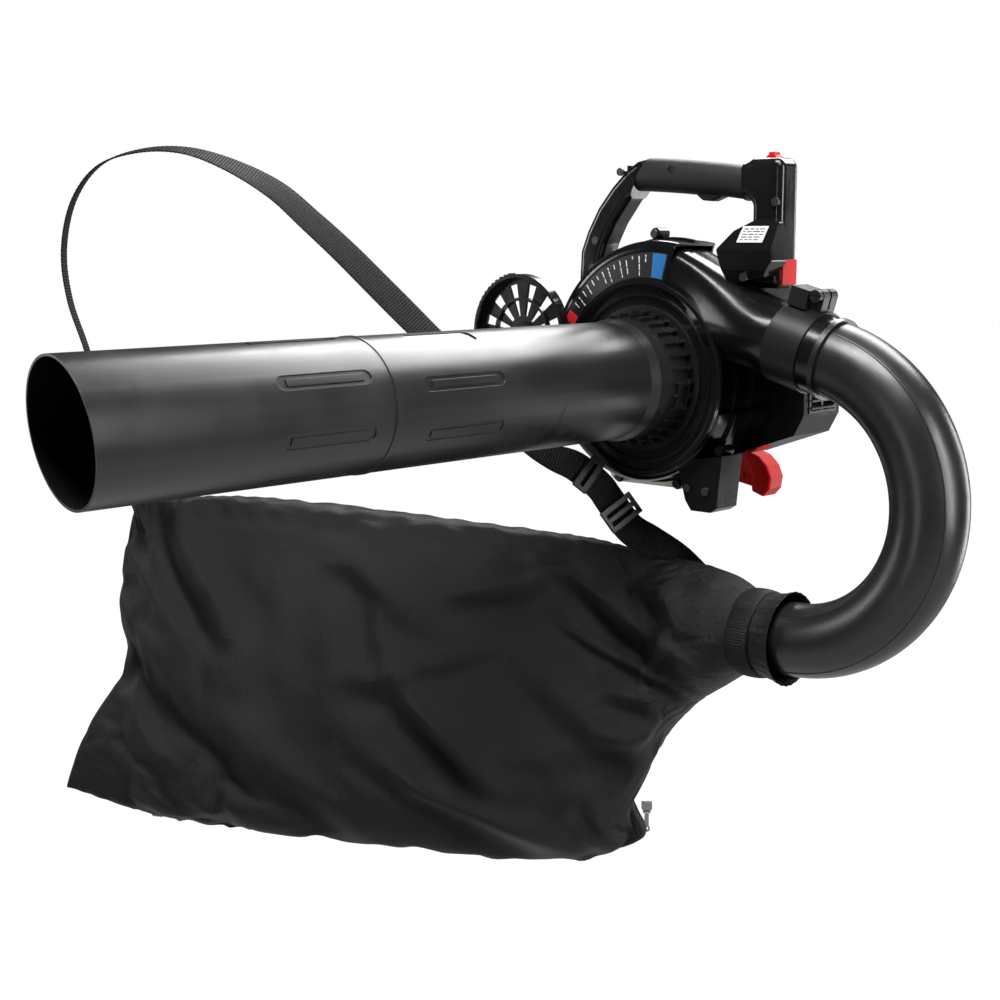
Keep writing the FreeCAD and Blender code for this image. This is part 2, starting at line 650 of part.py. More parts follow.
def spark_boot():
    sleeve = rod(Vector(109, BORE_Y, 0), Vector(134, BORE_Y, 0), 8)
    neck = rod(Vector(127, BORE_Y, 0), Vector(127, 110, 0), 5)
    return fuse([sleeve, neck]).cut(rod(Vector(108, BORE_Y, 0), Vector(124, BORE_Y, 0), 4.5))


def flywheel():
    rim = disc(42, 103, 112)
    hub = disc(14, 101, 115)
    fins = []
    for i in range(16):
        fins.append(turned(box(18, 40, 112, 117, -1, 1), i * 22.5))
    return fuse([rim, hub] + fins).cut(disc(SHAFT_R, 100, 118))


def ignition_module():
    coil = box(45, 55, 103, 113, -11.5, 11.5)
    legs = [box(42.8, 46, 104, 112, z - 2, z + 2) for z in (-9, 9)]
    return fuse([coil] + legs).cut(disc(42.8, 100, 118))


def starter_pulley():
    drum = disc(PULLEY_R + 3, 123, 135)
    groove = ring(PULLEY_R + 4, PULLEY_R - 1, 126.5, 131.5)
    return drum.cut(fuse([groove, disc(8, 122, 136)]))


def recoil_spring():
    """Flat spiral spring between the pulley and the cover."""
    turns, strip, first = 4, 0.9, 11.0
    pitch = 3.6
    outer = []
    inner = []
    for i in range(turns * 24 + 1):
        degrees = i * 15
        radius = first + pitch * degrees / 360
        outer.append(polar(radius + strip, degrees, 136.5))
        inner.append(polar(radius, degrees, 136.5))
    curves = []
    for side in (outer, inner):
        curve = Part.BSplineCurve()
        curve.interpolate(side)
        curves.append(curve.toShape())
    ends = [Part.makeLine(outer[0], inner[0]), Part.makeLine(outer[-1], inner[-1])]
    wire = Part.Wire(Part.__sortEdges__(curves + ends))
    return Part.Face(wire).extrude(Vector(0, 6, 0))


def starter_housing():
    """Rear cover: round, vented, with the post that the pulley turns on."""
    cup = disc(60, 102, 150).cut(disc(57, 101, 147))
    dome = cone(60, 50, 150, 156).cut(cone(57, 47, 147, 153))
    post = disc(7.95, 122.5, 148)
    body = fuse([cup, dome, post])
    for i in range(16):
        body = body.cut(turned(box(24, 50, 140, 160, -2, 2), i * 22.5 + 11))
    side_slots = [turned(box(50, 70, 106, 118, -3, 3), 150 + i * 12) for i in range(14)]
    for slot in side_slots:
        body = body.cut(slot)
    snout = rod(rope_start + rope_along * 46, rope_start + rope_along * SNOUT_END, 8)
    snout = snout.cut(disc(57, 101, 147))
    exit_hole = rod(rope_start + rope_along * 6, rope_start + rope_along * (SNOUT_END + 1), ROPE_R + 1.2)
    return fuse([body, snout]).cut(exit_hole)


ROPE_SLOPE = math.radians(-60.5)
ROPE_R = 2.0
SNOUT_END = 94.0            # along the rope, from where it leaves the pulley
rope_along = Vector(math.cos(ROPE_SLOPE), 0, math.sin(ROPE_SLOPE))
rope_start = Vector(rope_along.z, 0, -rope_along.x) * (PULLEY_R + ROPE_R) + Vector(0, ROPE_Y, 0)


def starter_rope():
    return rod(rope_start + rope_along * 4, rope_start + rope_along * (SNOUT_END + 12), ROPE_R)


def starter_grip():
    """Pull grip: a block on the rope's end, and a wide curved pad for the fingers."""
    start = rope_start + rope_along * (SNOUT_END + 1)
    neck = rod(start, start + rope_along * 22, 8.5)
    block = rounded_prism([(12, -102.5), (26, -94.7), (33, -96), (44, -107), (53, -121), (49, -133), (9, -126)],
                          ROPE_Y - 9, ROPE_Y + 9, 1.5, 1.5)
    pad = rounded_prism([(31, -94), (46, -92), (59, -96), (71, -107), (76.5, -120), (74.5, -134), (66, -143),
                         (51, -138), (50, -131), (52, -121), (43, -106)], ROPE_Y - 14, ROPE_Y + 14, 2.5, 2.5)
    bore = rod(start - rope_along, rope_start + rope_along * (SNOUT_END + 12), ROPE_R)
    recess = disc(5, ROPE_Y - 10, ROPE_Y - 7, 40, -120)
    return fuse([pad, neck, block]).cut(bore).cut(recess)


def engine_shroud():
    """Cover over the cylinder, with a window on the side where the cooling air leaves."""
    side = [(20, 44), (60, 52), (150, 52), (162, 30), (162, -38), (150, -60), (70, -88), (22, -80)]
    inner = [(17, 40), (61, 49), (148.5, 49), (159, 29), (159, -36.5), (148.5, -57), (69, -85), (17, -77)]
    body = outline(side, BACK_Y, 118).cut(outline(inner, BACK_Y + 3, 115))
    body = body.cut(outline([(16, 30), (60, 44), (120, 44), (120, -50), (60, -70), (16, -66)], 114, 119))
    body = body.cut(box(150, 170, GUARD_Y0, GUARD_Y1, GUARD_Z0, GUARD_Z1))
    body = body.cut(box(50, 82, BORE_Y - 16, BORE_Y + 16, 40, 60))
    return body.cut(disc(61, BACK_Y + 3, 160)).cut(disc(CASE_R + 0.5, BACK_Y - 1, 120))


GUARD_Y0, GUARD_Y1, GUARD_Z0, GUARD_Z1 = 56.0, 110.0, -36.0, 26.0


def muffler():
    can = box(50, 98, 56, 102, -70, -42)
    can = can.makeFillet(5, [e for e in can.Edges if abs(e.BoundBox.YLength) > 40])
    outlet = rod(Vector(98, 79, -55), Vector(112, 79, -55), 6)
    return fuse([can, outlet]).cut(rod(Vector(66, BORE_Y, -60), Vector(66, BORE_Y, -40), 6))


def muffler_guard():
    """Louvred guard in the shroud's window."""
    frame = box(158, 163, GUARD_Y0, GUARD_Y1, GUARD_Z0, GUARD_Z1)
    frame = frame.cut(box(157, 164, GUARD_Y0 + 3, GUARD_Y1 - 3, GUARD_Z0 + 3, GUARD_Z1 - 3))
    slats = []
    for i in range(7):
        z = GUARD_Z0 + 5 + i * 8
        slats.append(outline([(157, z + 3), (157, z + 5), (165, z + 1.5), (165, z - 0.5)],
                             GUARD_Y0 + 2, GUARD_Y1 - 2))
    post = box(158, 162, 81, 85, GUARD_Z0, GUARD_Z1)
    return fuse([frame, post] + slats)


def carburetor():
    insulator = box(54, 78, BORE_Y - 12, BORE_Y + 12, 40, 52)
    body = box(50, 84, BORE_Y - 15, BORE_Y + 15, 52, 78)
    bowl = rod(Vector(84, BORE_Y, 65), Vector(92, BORE_Y, 65), 11)
    bore = rod(Vector(66, BORE_Y, 39), Vector(66, BORE_Y, 79), 6)
    return fuse([insulator, body, bowl]).cut(bore)


def air_filter():
    base = box(36, 106, 52, 112, 78, 84).cut(rod(Vector(66, BORE_Y, 77), Vector(66, BORE_Y, 85), 6))
    foam = box(42, 100, 58, 106, 84, 96)
    cover = box(36, 106, 52, 112, 84, 104)
    cover = cover.makeFillet(6, [e for e in cover.Edges if e.BoundBox.ZMin > 103])
    cover = cover.cut(box(39, 103, 55, 109, 83, 100))
    ridges = [box(48 + i * 10, 52 + i * 10, 60, 104, 103, 106) for i in range(5)]
    return base, foam, fuse([cover] + ridges)


CHOKE_AT = Vector(100, 113, 66)


def choke_lever():
    hub = rod(CHOKE_AT, CHOKE_AT + Vector(0, 6, 0), 6)
    arm = box(0, 26, 0, 4, -3, 3)
    tab = box(22, 28, 0, 10, -5, 5)
    lever = fuse([arm, tab])
    lever.translate(CHOKE_AT + Vector(0, 1, 0))
    pin_hole = rod(CHOKE_AT - Vector(0, 1, 0), CHOKE_AT + Vector(0, 8, 0), 2.05)
    return fuse([hub, lever]).cut(pin_hole)


def control_plate():
    """Bracket behind the carburetor that carries the choke lever and the primer."""
    plate = box(40, 112, 108, 112, 54, 78)
    pin = rod(CHOKE_AT - Vector(0, 1.5, 0), CHOKE_AT + Vector(0, 7, 0), 2.0)
    seat = rod(Vector(62, 111, 66), Vector(62, 114, 66), 11)
    recess = rod(Vector(62, 110, 66), Vector(62, 115, 66), 8.3)
    return fuse([plate, seat, pin]).cut(recess)


def primer_bulb():
    ball = Part.makeSphere(8, Vector(62, 114, 66))
    stem = rod(Vector(62, 114, 66), Vector(62, 117, 66), 8)
    keep = box(50, 74, 114, 130, 50, 80)
    return fuse([ball, stem]).common(keep)


TANK_X0, TANK_X1 = -104.0, 14.0


def fuel_tank():
    tank = box(TANK_X0, TANK_X1, BACK_Y, 116, -132, -66)
    tank = tank.makeFillet(14, [e for e in tank.Edges if abs(e.BoundBox.YLength) > 60])
    inside = box(TANK_X0 + 3, TANK_X1 - 3, BACK_Y + 3, 113, -129, -69)
    inside = inside.makeFillet(11, [e for e in inside.Edges if abs(e.BoundBox.YLength) > 60])
    neck = rod(Vector(TANK_X0 - 8, 84, -98), Vector(TANK_X0 + 4, 84, -98), 14)
    mouth = rod(Vector(TANK_X0 - 9, 84, -98), Vector(TANK_X0 + 6, 84, -98), 11)
    body = fuse([tank, neck]).cut(inside).cut(mouth)
    return body.cut(rod(Vector(-20, 84, -71), Vector(-20, 84, -60), 2.5))


def fuel_cap():
    skirt_start = Vector(TANK_X0 - 1, 84, -98)
    cap = rod(skirt_start, skirt_start - Vector(12, 0, 0), 18)
    socket = rod(skirt_start + Vector(1, 0, 0), skirt_start - Vector(7.5, 0, 0), 14.3)
    knurls = []
    for i in range(18):
        angle = math.radians(i * 20)
        centre = skirt_start + Vector(0, 18 * math.cos(angle), 18 * math.sin(angle))
        knurls.append(rod(centre, centre - Vector(12, 0, 0), 1.4))
    return fuse([cap] + knurls).cut(socket)


def fuel_line():
    """Hose from the tank's top to the carburetor, along its own clipped route."""
    points = [Vector(-20, 84, -71), Vector(-20, 84, -52), Vector(-50, 84, 0), Vector(-30, 84, 60),
              Vector(20, 84, 70), Vector(50, 84, 70)]
    return tube_along(points, 2.5)


def tube_along(points, radius):
    """Round tube on straight runs joined by arcs that touch them."""
    edges = []
    last = points[0]
    for i in range(1, len(points) - 1):
        before = points[i - 1] - points[i]
        after = points[i + 1] - points[i]
        half = (math.pi - before.getAngle(after)) / 2
        reach = 0.45 * min(before.Length, after.Length)
        start = points[i] + before.normalize() * reach
        end = points[i] + after.normalize() * reach
        inward = (before + after).normalize()
        arc_radius = reach / math.tan(half)
        middle = points[i] + inward * (arc_radius / math.cos(half) - arc_radius)
        edges.append(Part.LineSegment(last, start).toShape())
        edges.append(Part.Arc(start, middle, end).toShape())
        last = end
    edges.append(Part.LineSegment(last, points[-1]).toShape())
    path = Part.Wire(edges)
    along = points[1] - points[0]
    profile = Part.Wire(Part.Circle(points[0], along, radius).toShape())
    return path.makePipeShell([profile], True, False)


# ---------------------------------------------------------------- handle

HANDLE_OUTER = [(-118, 104), (-116, 138), (-107, 160), (-91, 187), (-71, 210), (-51, 228), (-36, 237),
                (-18, 240), (110, 231), (118, 236), (151, 236), (157, 228), (157, 100), (104, 100),
                (119, 168), (119, 188), (110, 197), (-20, 204), (-46, 196), (-68, 168), (-80, 146),
                (-100, 84)]
GRIP_SPAN = [(-20, 252), (-48, 188), (106, 188), (106, 252)]
GRIP_CORE = [(-50, 233), (106, 220), (106, 205), (-50, 217)]
TRIGGER_PIN = Vector(97, HANDLE_MID, 211)
SWITCH_AT = Vector(136, HANDLE_MID, 232)


def inset(points, distance):
    """The outline drawn again at a distance inside itself."""
    corners = [Vector(x, 0, z) for x, z in points]
    wire = Part.makePolygon(corners + corners[:1])
    return Part.Face(wire).makeOffset2D(-distance, 2)


def handle_pod():
    """Block at the foot of the handle's post, with a sloping top towards the user."""
    front = outline([(92, 141), (104, 160), (128, 173), (157, 170), (163, 130), (150, 112), (104, 104)], -26, 5)
    front = front.makeFillet(5, [e for e in front.Edges if e.BoundBox.YLength > 1])
    slope = [(5, 172), (0, 172), (-24, 140), (-24, 120), (-14, 98), (5, 98)]
    corners = [Vector(90, y, z) for y, z in slope]
    side = Part.Face(Part.makePolygon(corners + corners[:1])).extrude(Vector(80, 0, 0))
    side = side.makeFillet(3, [e for e in side.Edges if e.BoundBox.XLength > 70 and e.BoundBox.YMax < -1])
    return front.common(side)


def handle_halves(neighbours):
    solid = rounded_prism(HANDLE_OUTER, HANDLE_Y0, HANDLE_Y1, 9, 8)
    room_face = inset(HANDLE_OUTER, HANDLE_WALL)
    room_face.translate(Vector(0, HANDLE_Y0 + HANDLE_WALL, 0))
    room = room_face.extrude(Vector(0, HANDLE_Y1 - HANDLE_Y0 - 2 * HANDLE_WALL, 0))
    core = outline(GRIP_CORE, HANDLE_Y0 + 4, HANDLE_Y1 - 4)
    core_room = outline([(-42, 230), (102, 217), (102, 208), (-42, 220)], HANDLE_Y0 + 7, HANDLE_Y1 - 7)
    bulkheads = box(-56, 113, HANDLE_Y0, HANDLE_Y1, 180, 260)
    body = solid.cut(room.cut(bulkheads)).cut(outline(GRIP_SPAN, HANDLE_Y0 - 1, HANDLE_Y1 + 1)).fuse(core)
    body = fuse([body.cut(core_room), handle_pod()])
    for neighbour in neighbours:
        body = body.cut(neighbour)
    body = body.cut(outline([(38, 190), (105, 190), (105, 217), (38, 215)], 9, 25))
    body = body.cut(rod(SWITCH_AT - Vector(0, 6.5, 0), SWITCH_AT + Vector(0, 6.5, 0), 8.5))
    body = body.cut(rod(TRIGGER_PIN - Vector(0, 11, 0), TRIGGER_PIN + Vector(0, 11, 0), 2.0))
    body = body.cut(handle_insert())
    for x, z in HANDLE_SCREWS:
        body = body.cut(disc(2.2, -30, HANDLE_Y1 - 4, x, z))
    left = body.common(box(-300, 300, -60, HANDLE_MID, 0, 400))
    right = body.common(box(-300, 300, HANDLE_MID, 60, 0, 400))
    return left, right


HANDLE_SCREWS = [(-55, 226), (-90, 150), (151, 190), (128, 112)]


def handle_screws():
    screws = []
    for x, z in HANDLE_SCREWS:
        front = -22.0 if (x, z) == HANDLE_SCREWS[3] else HANDLE_Y0
        screws.append(screw(Vector(x, HANDLE_Y1 - 4, z), Vector(x, front, z), 2.2, 4.4))
    return group(screws)


def grip_sleeve():
    """Soft grip round the handle's core, its front end mitred against the handle's leg."""
    wires = []
    for x, z in ((-60, 224), (20, 219.5), (107, 210)):
        wires.append(loop(Vector(x, HANDLE_MID, z), Vector(0, 17, 0), Vector(0, 0, 18.5), 2.2))
    sleeve = Part.makeLoft(wires, True, False).common(outline(GRIP_SPAN, -10, 50))
    sleeve = sleeve.cut(outline(GRIP_CORE, HANDLE_Y0 + 4, HANDLE_Y1 - 4))
    sleeve = sleeve.cut(box(38, 103.5, 9, 25, 180, 216))
    return sleeve.cut(rod(Vector(13, -5, 226), Vector(13, 3, 226), 5))


def trigger():
    shape = outline([(102, 215), (96, 216), (48, 209), (42, 206), (42, 199), (50, 193), (62, 192),
                     (76, 197), (102, 205)], 10, 24)
    shape = shape.makeFillet(2, [e for e in shape.Edges if abs(e.BoundBox.YLength) < 0.1
                                 and e.BoundBox.ZMax < 198])
    return shape.cut(rod(TRIGGER_PIN - Vector(0, 20, 0), TRIGGER_PIN + Vector(0, 20, 0), 2.05))


def trigger_pin():
    return rod(TRIGGER_PIN - Vector(0, 10.5, 0), TRIGGER_PIN + Vector(0, 10.5, 0), 2.0)


def stop_switch():
    barrel = rod(SWITCH_AT - Vector(0, 6, 0), SWITCH_AT + Vector(0, 6, 0), 8.0)
    paddle = box(-3, 3, -6, 6, 4, 10)
    paddle.translate(SWITCH_AT)
    return fuse([barrel, paddle])


def handle_insert():
    return outline([(150, 132), (158.5, 130), (158.5, 104), (150, 104)], 4, 30)


# ---------------------------------------------------------------- foot

FOOT_Z = -143.0

def foot():
    block = outline([(44, -90), (56, -132), (64, FOOT_Z), (90, FOOT_Z), (98, FOOT_Z + 5), (104, -80)], -22, 16)
    hollow = outline([(50, -80), (66, -136), (90, -137), (98, -80)], -18, 12)
    return block.cut(hollow)


def foot_screws():
    return group([screw(Vector(x, -18, z), Vector(x, -22, z), 2.2, 4.4) for x, z in ((60, -118), (84, -120))])


# ---------------------------------------------------------------- assembly

def main():
    os.makedirs("parts", exist_ok=True)
    shell, filled = housing_shell()
    front, rear = housing_halves(shell, filled)
    hinge_bracket, hinge_pin = door_hinge()
    foot_body = foot()
    screws = foot_screws()
    for solid in filled + housing_bosses() + shell_screws().Solids + screws.Solids:
        foot_body = foot_body.cut(solid)
    handle_left, handle_right = handle_halves(filled + housing_bosses() + shell_screws().Solids)
    slider, tab = zipper()
    elbow = elbow_tube()
    bag_solid = bag().cut(slider).cut(elbow)
    front_bearing, rear_bearing = bearings()
    filter_base, filter_foam, filter_cover = air_filter()

    nodes = {
        "volute_front_shell": front,
        "volute_rear_shell": rear,
        "shell_screws": shell_screws(),
        "inlet_collar": inlet_collar(),
        "inlet_door": inlet_door(),
        "door_hinge_ears": hinge_bracket,
        "door_hinge_pin": hinge_pin,
        "vac_tube_upper": vac_tube_upper(),
        "vac_tube_lower": vac_tube_lower(),
        "elbow_tube": elbow,
        "duct_clamp": duct_clamp(),
        "clamp_screw": clamp_screw(),
        "debris_bag": bag_solid,
        "zip_slider": slider,
        "zip_pull": tab,
        "shoulder_strap": ribbon(strap_sections(STRAP_ROUTE)).cut(bag_solid),
        "strap_slider": strap_fitting(SLIDER_STEP, 18, 45, 1),
        "strap_buckle": strap_fitting(BUCKLE_STEP, 27, 45, 2),
        "impeller": impeller(),
        "impeller_bolt": impeller_bolt(),
        "crankshaft": crankshaft(),
        "front_bearing": front_bearing,
        "rear_bearing": rear_bearing,
        "crankcase": crankcase(),
        "cylinder_block": cylinder_block(),
        "piston": piston(),
        "connecting_rod": connecting_rod(),
        "spark_plug": spark_plug(),
        "spark_boot": spark_boot(),
        "flywheel": flywheel(),
        "ignition_module": ignition_module(),
        "starter_pulley": starter_pulley(),
        "recoil_spring": recoil_spring(),
        "starter_housing": starter_housing(),
        "starter_rope": starter_rope(),
        "starter_grip": starter_grip(),
        "engine_shroud": engine_shroud(),
        "muffler": muffler(),
        "muffler_guard": muffler_guard(),
        "carburetor": carburetor(),
        "air_filter_base": filter_base,
        "air_filter_foam": filter_foam,
        "air_filter_cover": filter_cover,
        "control_plate": control_plate(),
        "choke_lever": choke_lever(),
        "primer_bulb": primer_bulb(),
        "fuel_tank": fuel_tank(),
        "fuel_cap": fuel_cap(),
        "fuel_line": fuel_line(),
        "handle_left_half": handle_left,
        "handle_right_half": handle_right,
        "grip_sleeve": grip_sleeve(),
        "throttle_trigger": trigger(),
        "trigger_pin": trigger_pin(),
        "stop_switch": stop_switch(),
        "handle_insert": handle_insert(),
        "handle_screws": handle_screws(),
        "foot_bracket": foot_body,
        "foot_screws": screws,
    }
    for name, shape in nodes.items():
        save(name, shape)


main()
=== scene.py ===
import json
import math
import random

import bpy
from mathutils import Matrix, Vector, noise


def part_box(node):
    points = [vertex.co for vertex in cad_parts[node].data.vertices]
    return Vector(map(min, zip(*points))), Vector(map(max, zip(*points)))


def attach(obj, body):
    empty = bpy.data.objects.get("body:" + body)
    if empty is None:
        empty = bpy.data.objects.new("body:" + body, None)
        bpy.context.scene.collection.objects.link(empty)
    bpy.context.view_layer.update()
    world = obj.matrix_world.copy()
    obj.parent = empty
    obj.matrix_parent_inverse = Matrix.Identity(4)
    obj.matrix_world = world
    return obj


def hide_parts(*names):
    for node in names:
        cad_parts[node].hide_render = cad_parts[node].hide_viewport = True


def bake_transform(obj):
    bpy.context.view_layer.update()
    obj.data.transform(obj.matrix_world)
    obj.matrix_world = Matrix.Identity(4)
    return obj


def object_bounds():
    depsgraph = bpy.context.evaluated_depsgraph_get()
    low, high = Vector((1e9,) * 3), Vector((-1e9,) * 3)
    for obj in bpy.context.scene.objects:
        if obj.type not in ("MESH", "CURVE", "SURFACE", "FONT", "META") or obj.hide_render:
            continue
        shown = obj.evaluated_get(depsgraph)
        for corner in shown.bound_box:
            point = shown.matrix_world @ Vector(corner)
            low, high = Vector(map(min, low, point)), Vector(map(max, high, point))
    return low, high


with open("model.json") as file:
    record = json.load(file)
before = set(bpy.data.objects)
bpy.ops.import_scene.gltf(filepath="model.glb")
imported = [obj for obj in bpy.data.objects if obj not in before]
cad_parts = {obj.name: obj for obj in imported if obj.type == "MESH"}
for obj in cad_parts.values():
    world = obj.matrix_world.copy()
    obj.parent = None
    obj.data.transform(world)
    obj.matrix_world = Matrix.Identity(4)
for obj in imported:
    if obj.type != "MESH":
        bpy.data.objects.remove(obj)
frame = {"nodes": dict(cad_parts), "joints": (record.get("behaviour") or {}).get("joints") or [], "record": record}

cad_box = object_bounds()
scene = bpy.context.scene
nodes = frame["nodes"]
joints = {j["name"]: j for j in frame["joints"]}
FAN = Vector(joints["fan_spin"]["pos_m"])       # a point of the fan's axis, in the frame
MM = 0.001


def at(x, y, z):
    """A point given in millimetres from the fan's centre, as in the part's source."""
    return FAN + Vector((x, y, z)) * MM


def set_inputs(node, values):
    for name, value in values.items():
        node.inputs[name].default_value = value


# ---------------------------------------------------------------- camera, floor and light

CAMERA_PLACE = (1.1273, -1.5407, -0.0668)
CAMERA_DOWN = 8.7           # degrees below the horizon
CAMERA_TURN = 42.3          # degrees round from looking along +Y
LENS = 61.09
SENSOR = 36
NEAR, FAR = 0.05, 100       # what the camera can see, in metres
FLOOR_REACH = 30
FLOOR_GAP = 0.004           # under the object's lowest point
# Name, place from the object's centre in metres, width, height, watts
LIGHTS = [
    ("softbox_top", (0.35, -0.6, 1.9), 1.5, 0.7, 80),
    ("softbox_left", (-2.3, -1.3, 0.5), 0.6, 1.4, 26),
    ("softbox_right", (2.2, 0.3, 0.5), 0.35, 1.8, 40),
    ("softbox_back", (-0.25, 1.75, 1.8), 2.2, 1.0, 90),
    ("strip_front", (0.1, -2.3, 0.0), 0.16, 1.6, 7),
    ("strip_back", (0.9, 2.2, 0.0), 0.3, 1.6, 18),
]


def make_camera():
    data = bpy.data.cameras.new("camera")
    data.lens = LENS
    data.sensor_width = SENSOR
    data.clip_start = NEAR
    data.clip_end = FAR
    camera = bpy.data.objects.new("camera", data)
    camera.location = CAMERA_PLACE
    camera.rotation_euler = (math.radians(90 - CAMERA_DOWN), 0, math.radians(CAMERA_TURN))
    scene.collection.objects.link(camera)
    scene.camera = camera


def make_floor():
    """Pale floor that shows as an even white and throws no light on the object."""
    z = cad_box[0].z - FLOOR_GAP
    corners = [(x * FLOOR_REACH, y * FLOOR_REACH, z) for x, y in ((-1, -1), (1, -1), (1, 1), (-1, 1))]
    mesh = bpy.data.meshes.new("floor")
    mesh.from_pydata(corners, [], [(0, 1, 2, 3)])
    floor = bpy.data.objects.new("floor", mesh)
    scene.collection.objects.link(floor)
    paint = bpy.data.materials.new("floor_paint")
    paint.use_nodes = True
    set_inputs(paint.node_tree.nodes["Principled BSDF"], {
        "Base Color": (0.05, 0.05, 0.05, 1),
        "Roughness": 0.9,
        "Specular IOR Level": 0.0,
        "Emission Color": (1, 1, 1, 1),
        "Emission Strength": 1.0,
    })
    mesh.materials.append(paint)
    floor.visible_diffuse = False
    floor.visible_glossy = False


def make_world():
    """White to the camera, and to the object a dim room over a pale floor."""
    world = bpy.data.worlds.new("studio")
    world.use_nodes = True
    tree = world.node_tree
    direction = tree.nodes.new("ShaderNodeTexCoord")
    split = tree.nodes.new("ShaderNodeSeparateXYZ")
    height = tree.nodes.new("ShaderNodeMapRange")
    shade = tree.nodes.new("ShaderNodeValToRGB")
    ray = tree.nodes.new("ShaderNodeLightPath")
    white = tree.nodes.new("ShaderNodeBackground")
    mix = tree.nodes.new("ShaderNodeMixShader")
    room = tree.nodes["Background"]
    for out, into in (
            (direction.outputs["Generated"], split.inputs[0]),
            (split.outputs["Z"], height.inputs["Value"]),
            (height.outputs["Result"], shade.inputs["Fac"]),
            (shade.outputs["Color"], room.inputs["Color"]),
            (ray.outputs["Is Camera Ray"], mix.inputs["Fac"]),
            (room.outputs[0], mix.inputs[1]),
            (white.outputs[0], mix.inputs[2]),
            (mix.outputs[0], tree.nodes["World Output"].inputs["Surface"])):
        tree.links.new(out, into)
    set_inputs(height, {"From Min": -1.0})
    set_inputs(room, {"Strength": 1.0})
    set_inputs(white, {"Color": (1, 1, 1, 1)})
    below, above = shade.color_ramp.elements
    below.position, below.color = 0.2, (0.8, 0.8, 0.8, 1)
    above.position, above.color = 0.8, (0.02, 0.02, 0.021, 1)
    horizon = shade.color_ramp.elements.new(0.42)
    horizon.color = (0.06, 0.06, 0.06, 1)
    scene.world = world


def make_lights():
    """Rectangular lamps round the object, all aimed at its centre."""
    centre = (cad_box[0] + cad_box[1]) / 2
    for name, offset, width, height, power in LIGHTS:
        data = bpy.data.lights.new(name, "AREA")
        data.shape = "RECTANGLE"
        data.size = width
        data.size_y = height
        data.energy = power
        lamp = bpy.data.objects.new(name, data)
        lamp.location = centre + Vector(offset)
        lamp.rotation_euler = (centre - lamp.location).to_track_quat("-Z", "Y").to_euler()
        scene.collection.objects.link(lamp)


# ---------------------------------------------------------------- materials

MIX_FIRST, MIX_SECOND, MIX_RESULT = 6, 7, 2     # the colour sockets of a mix node


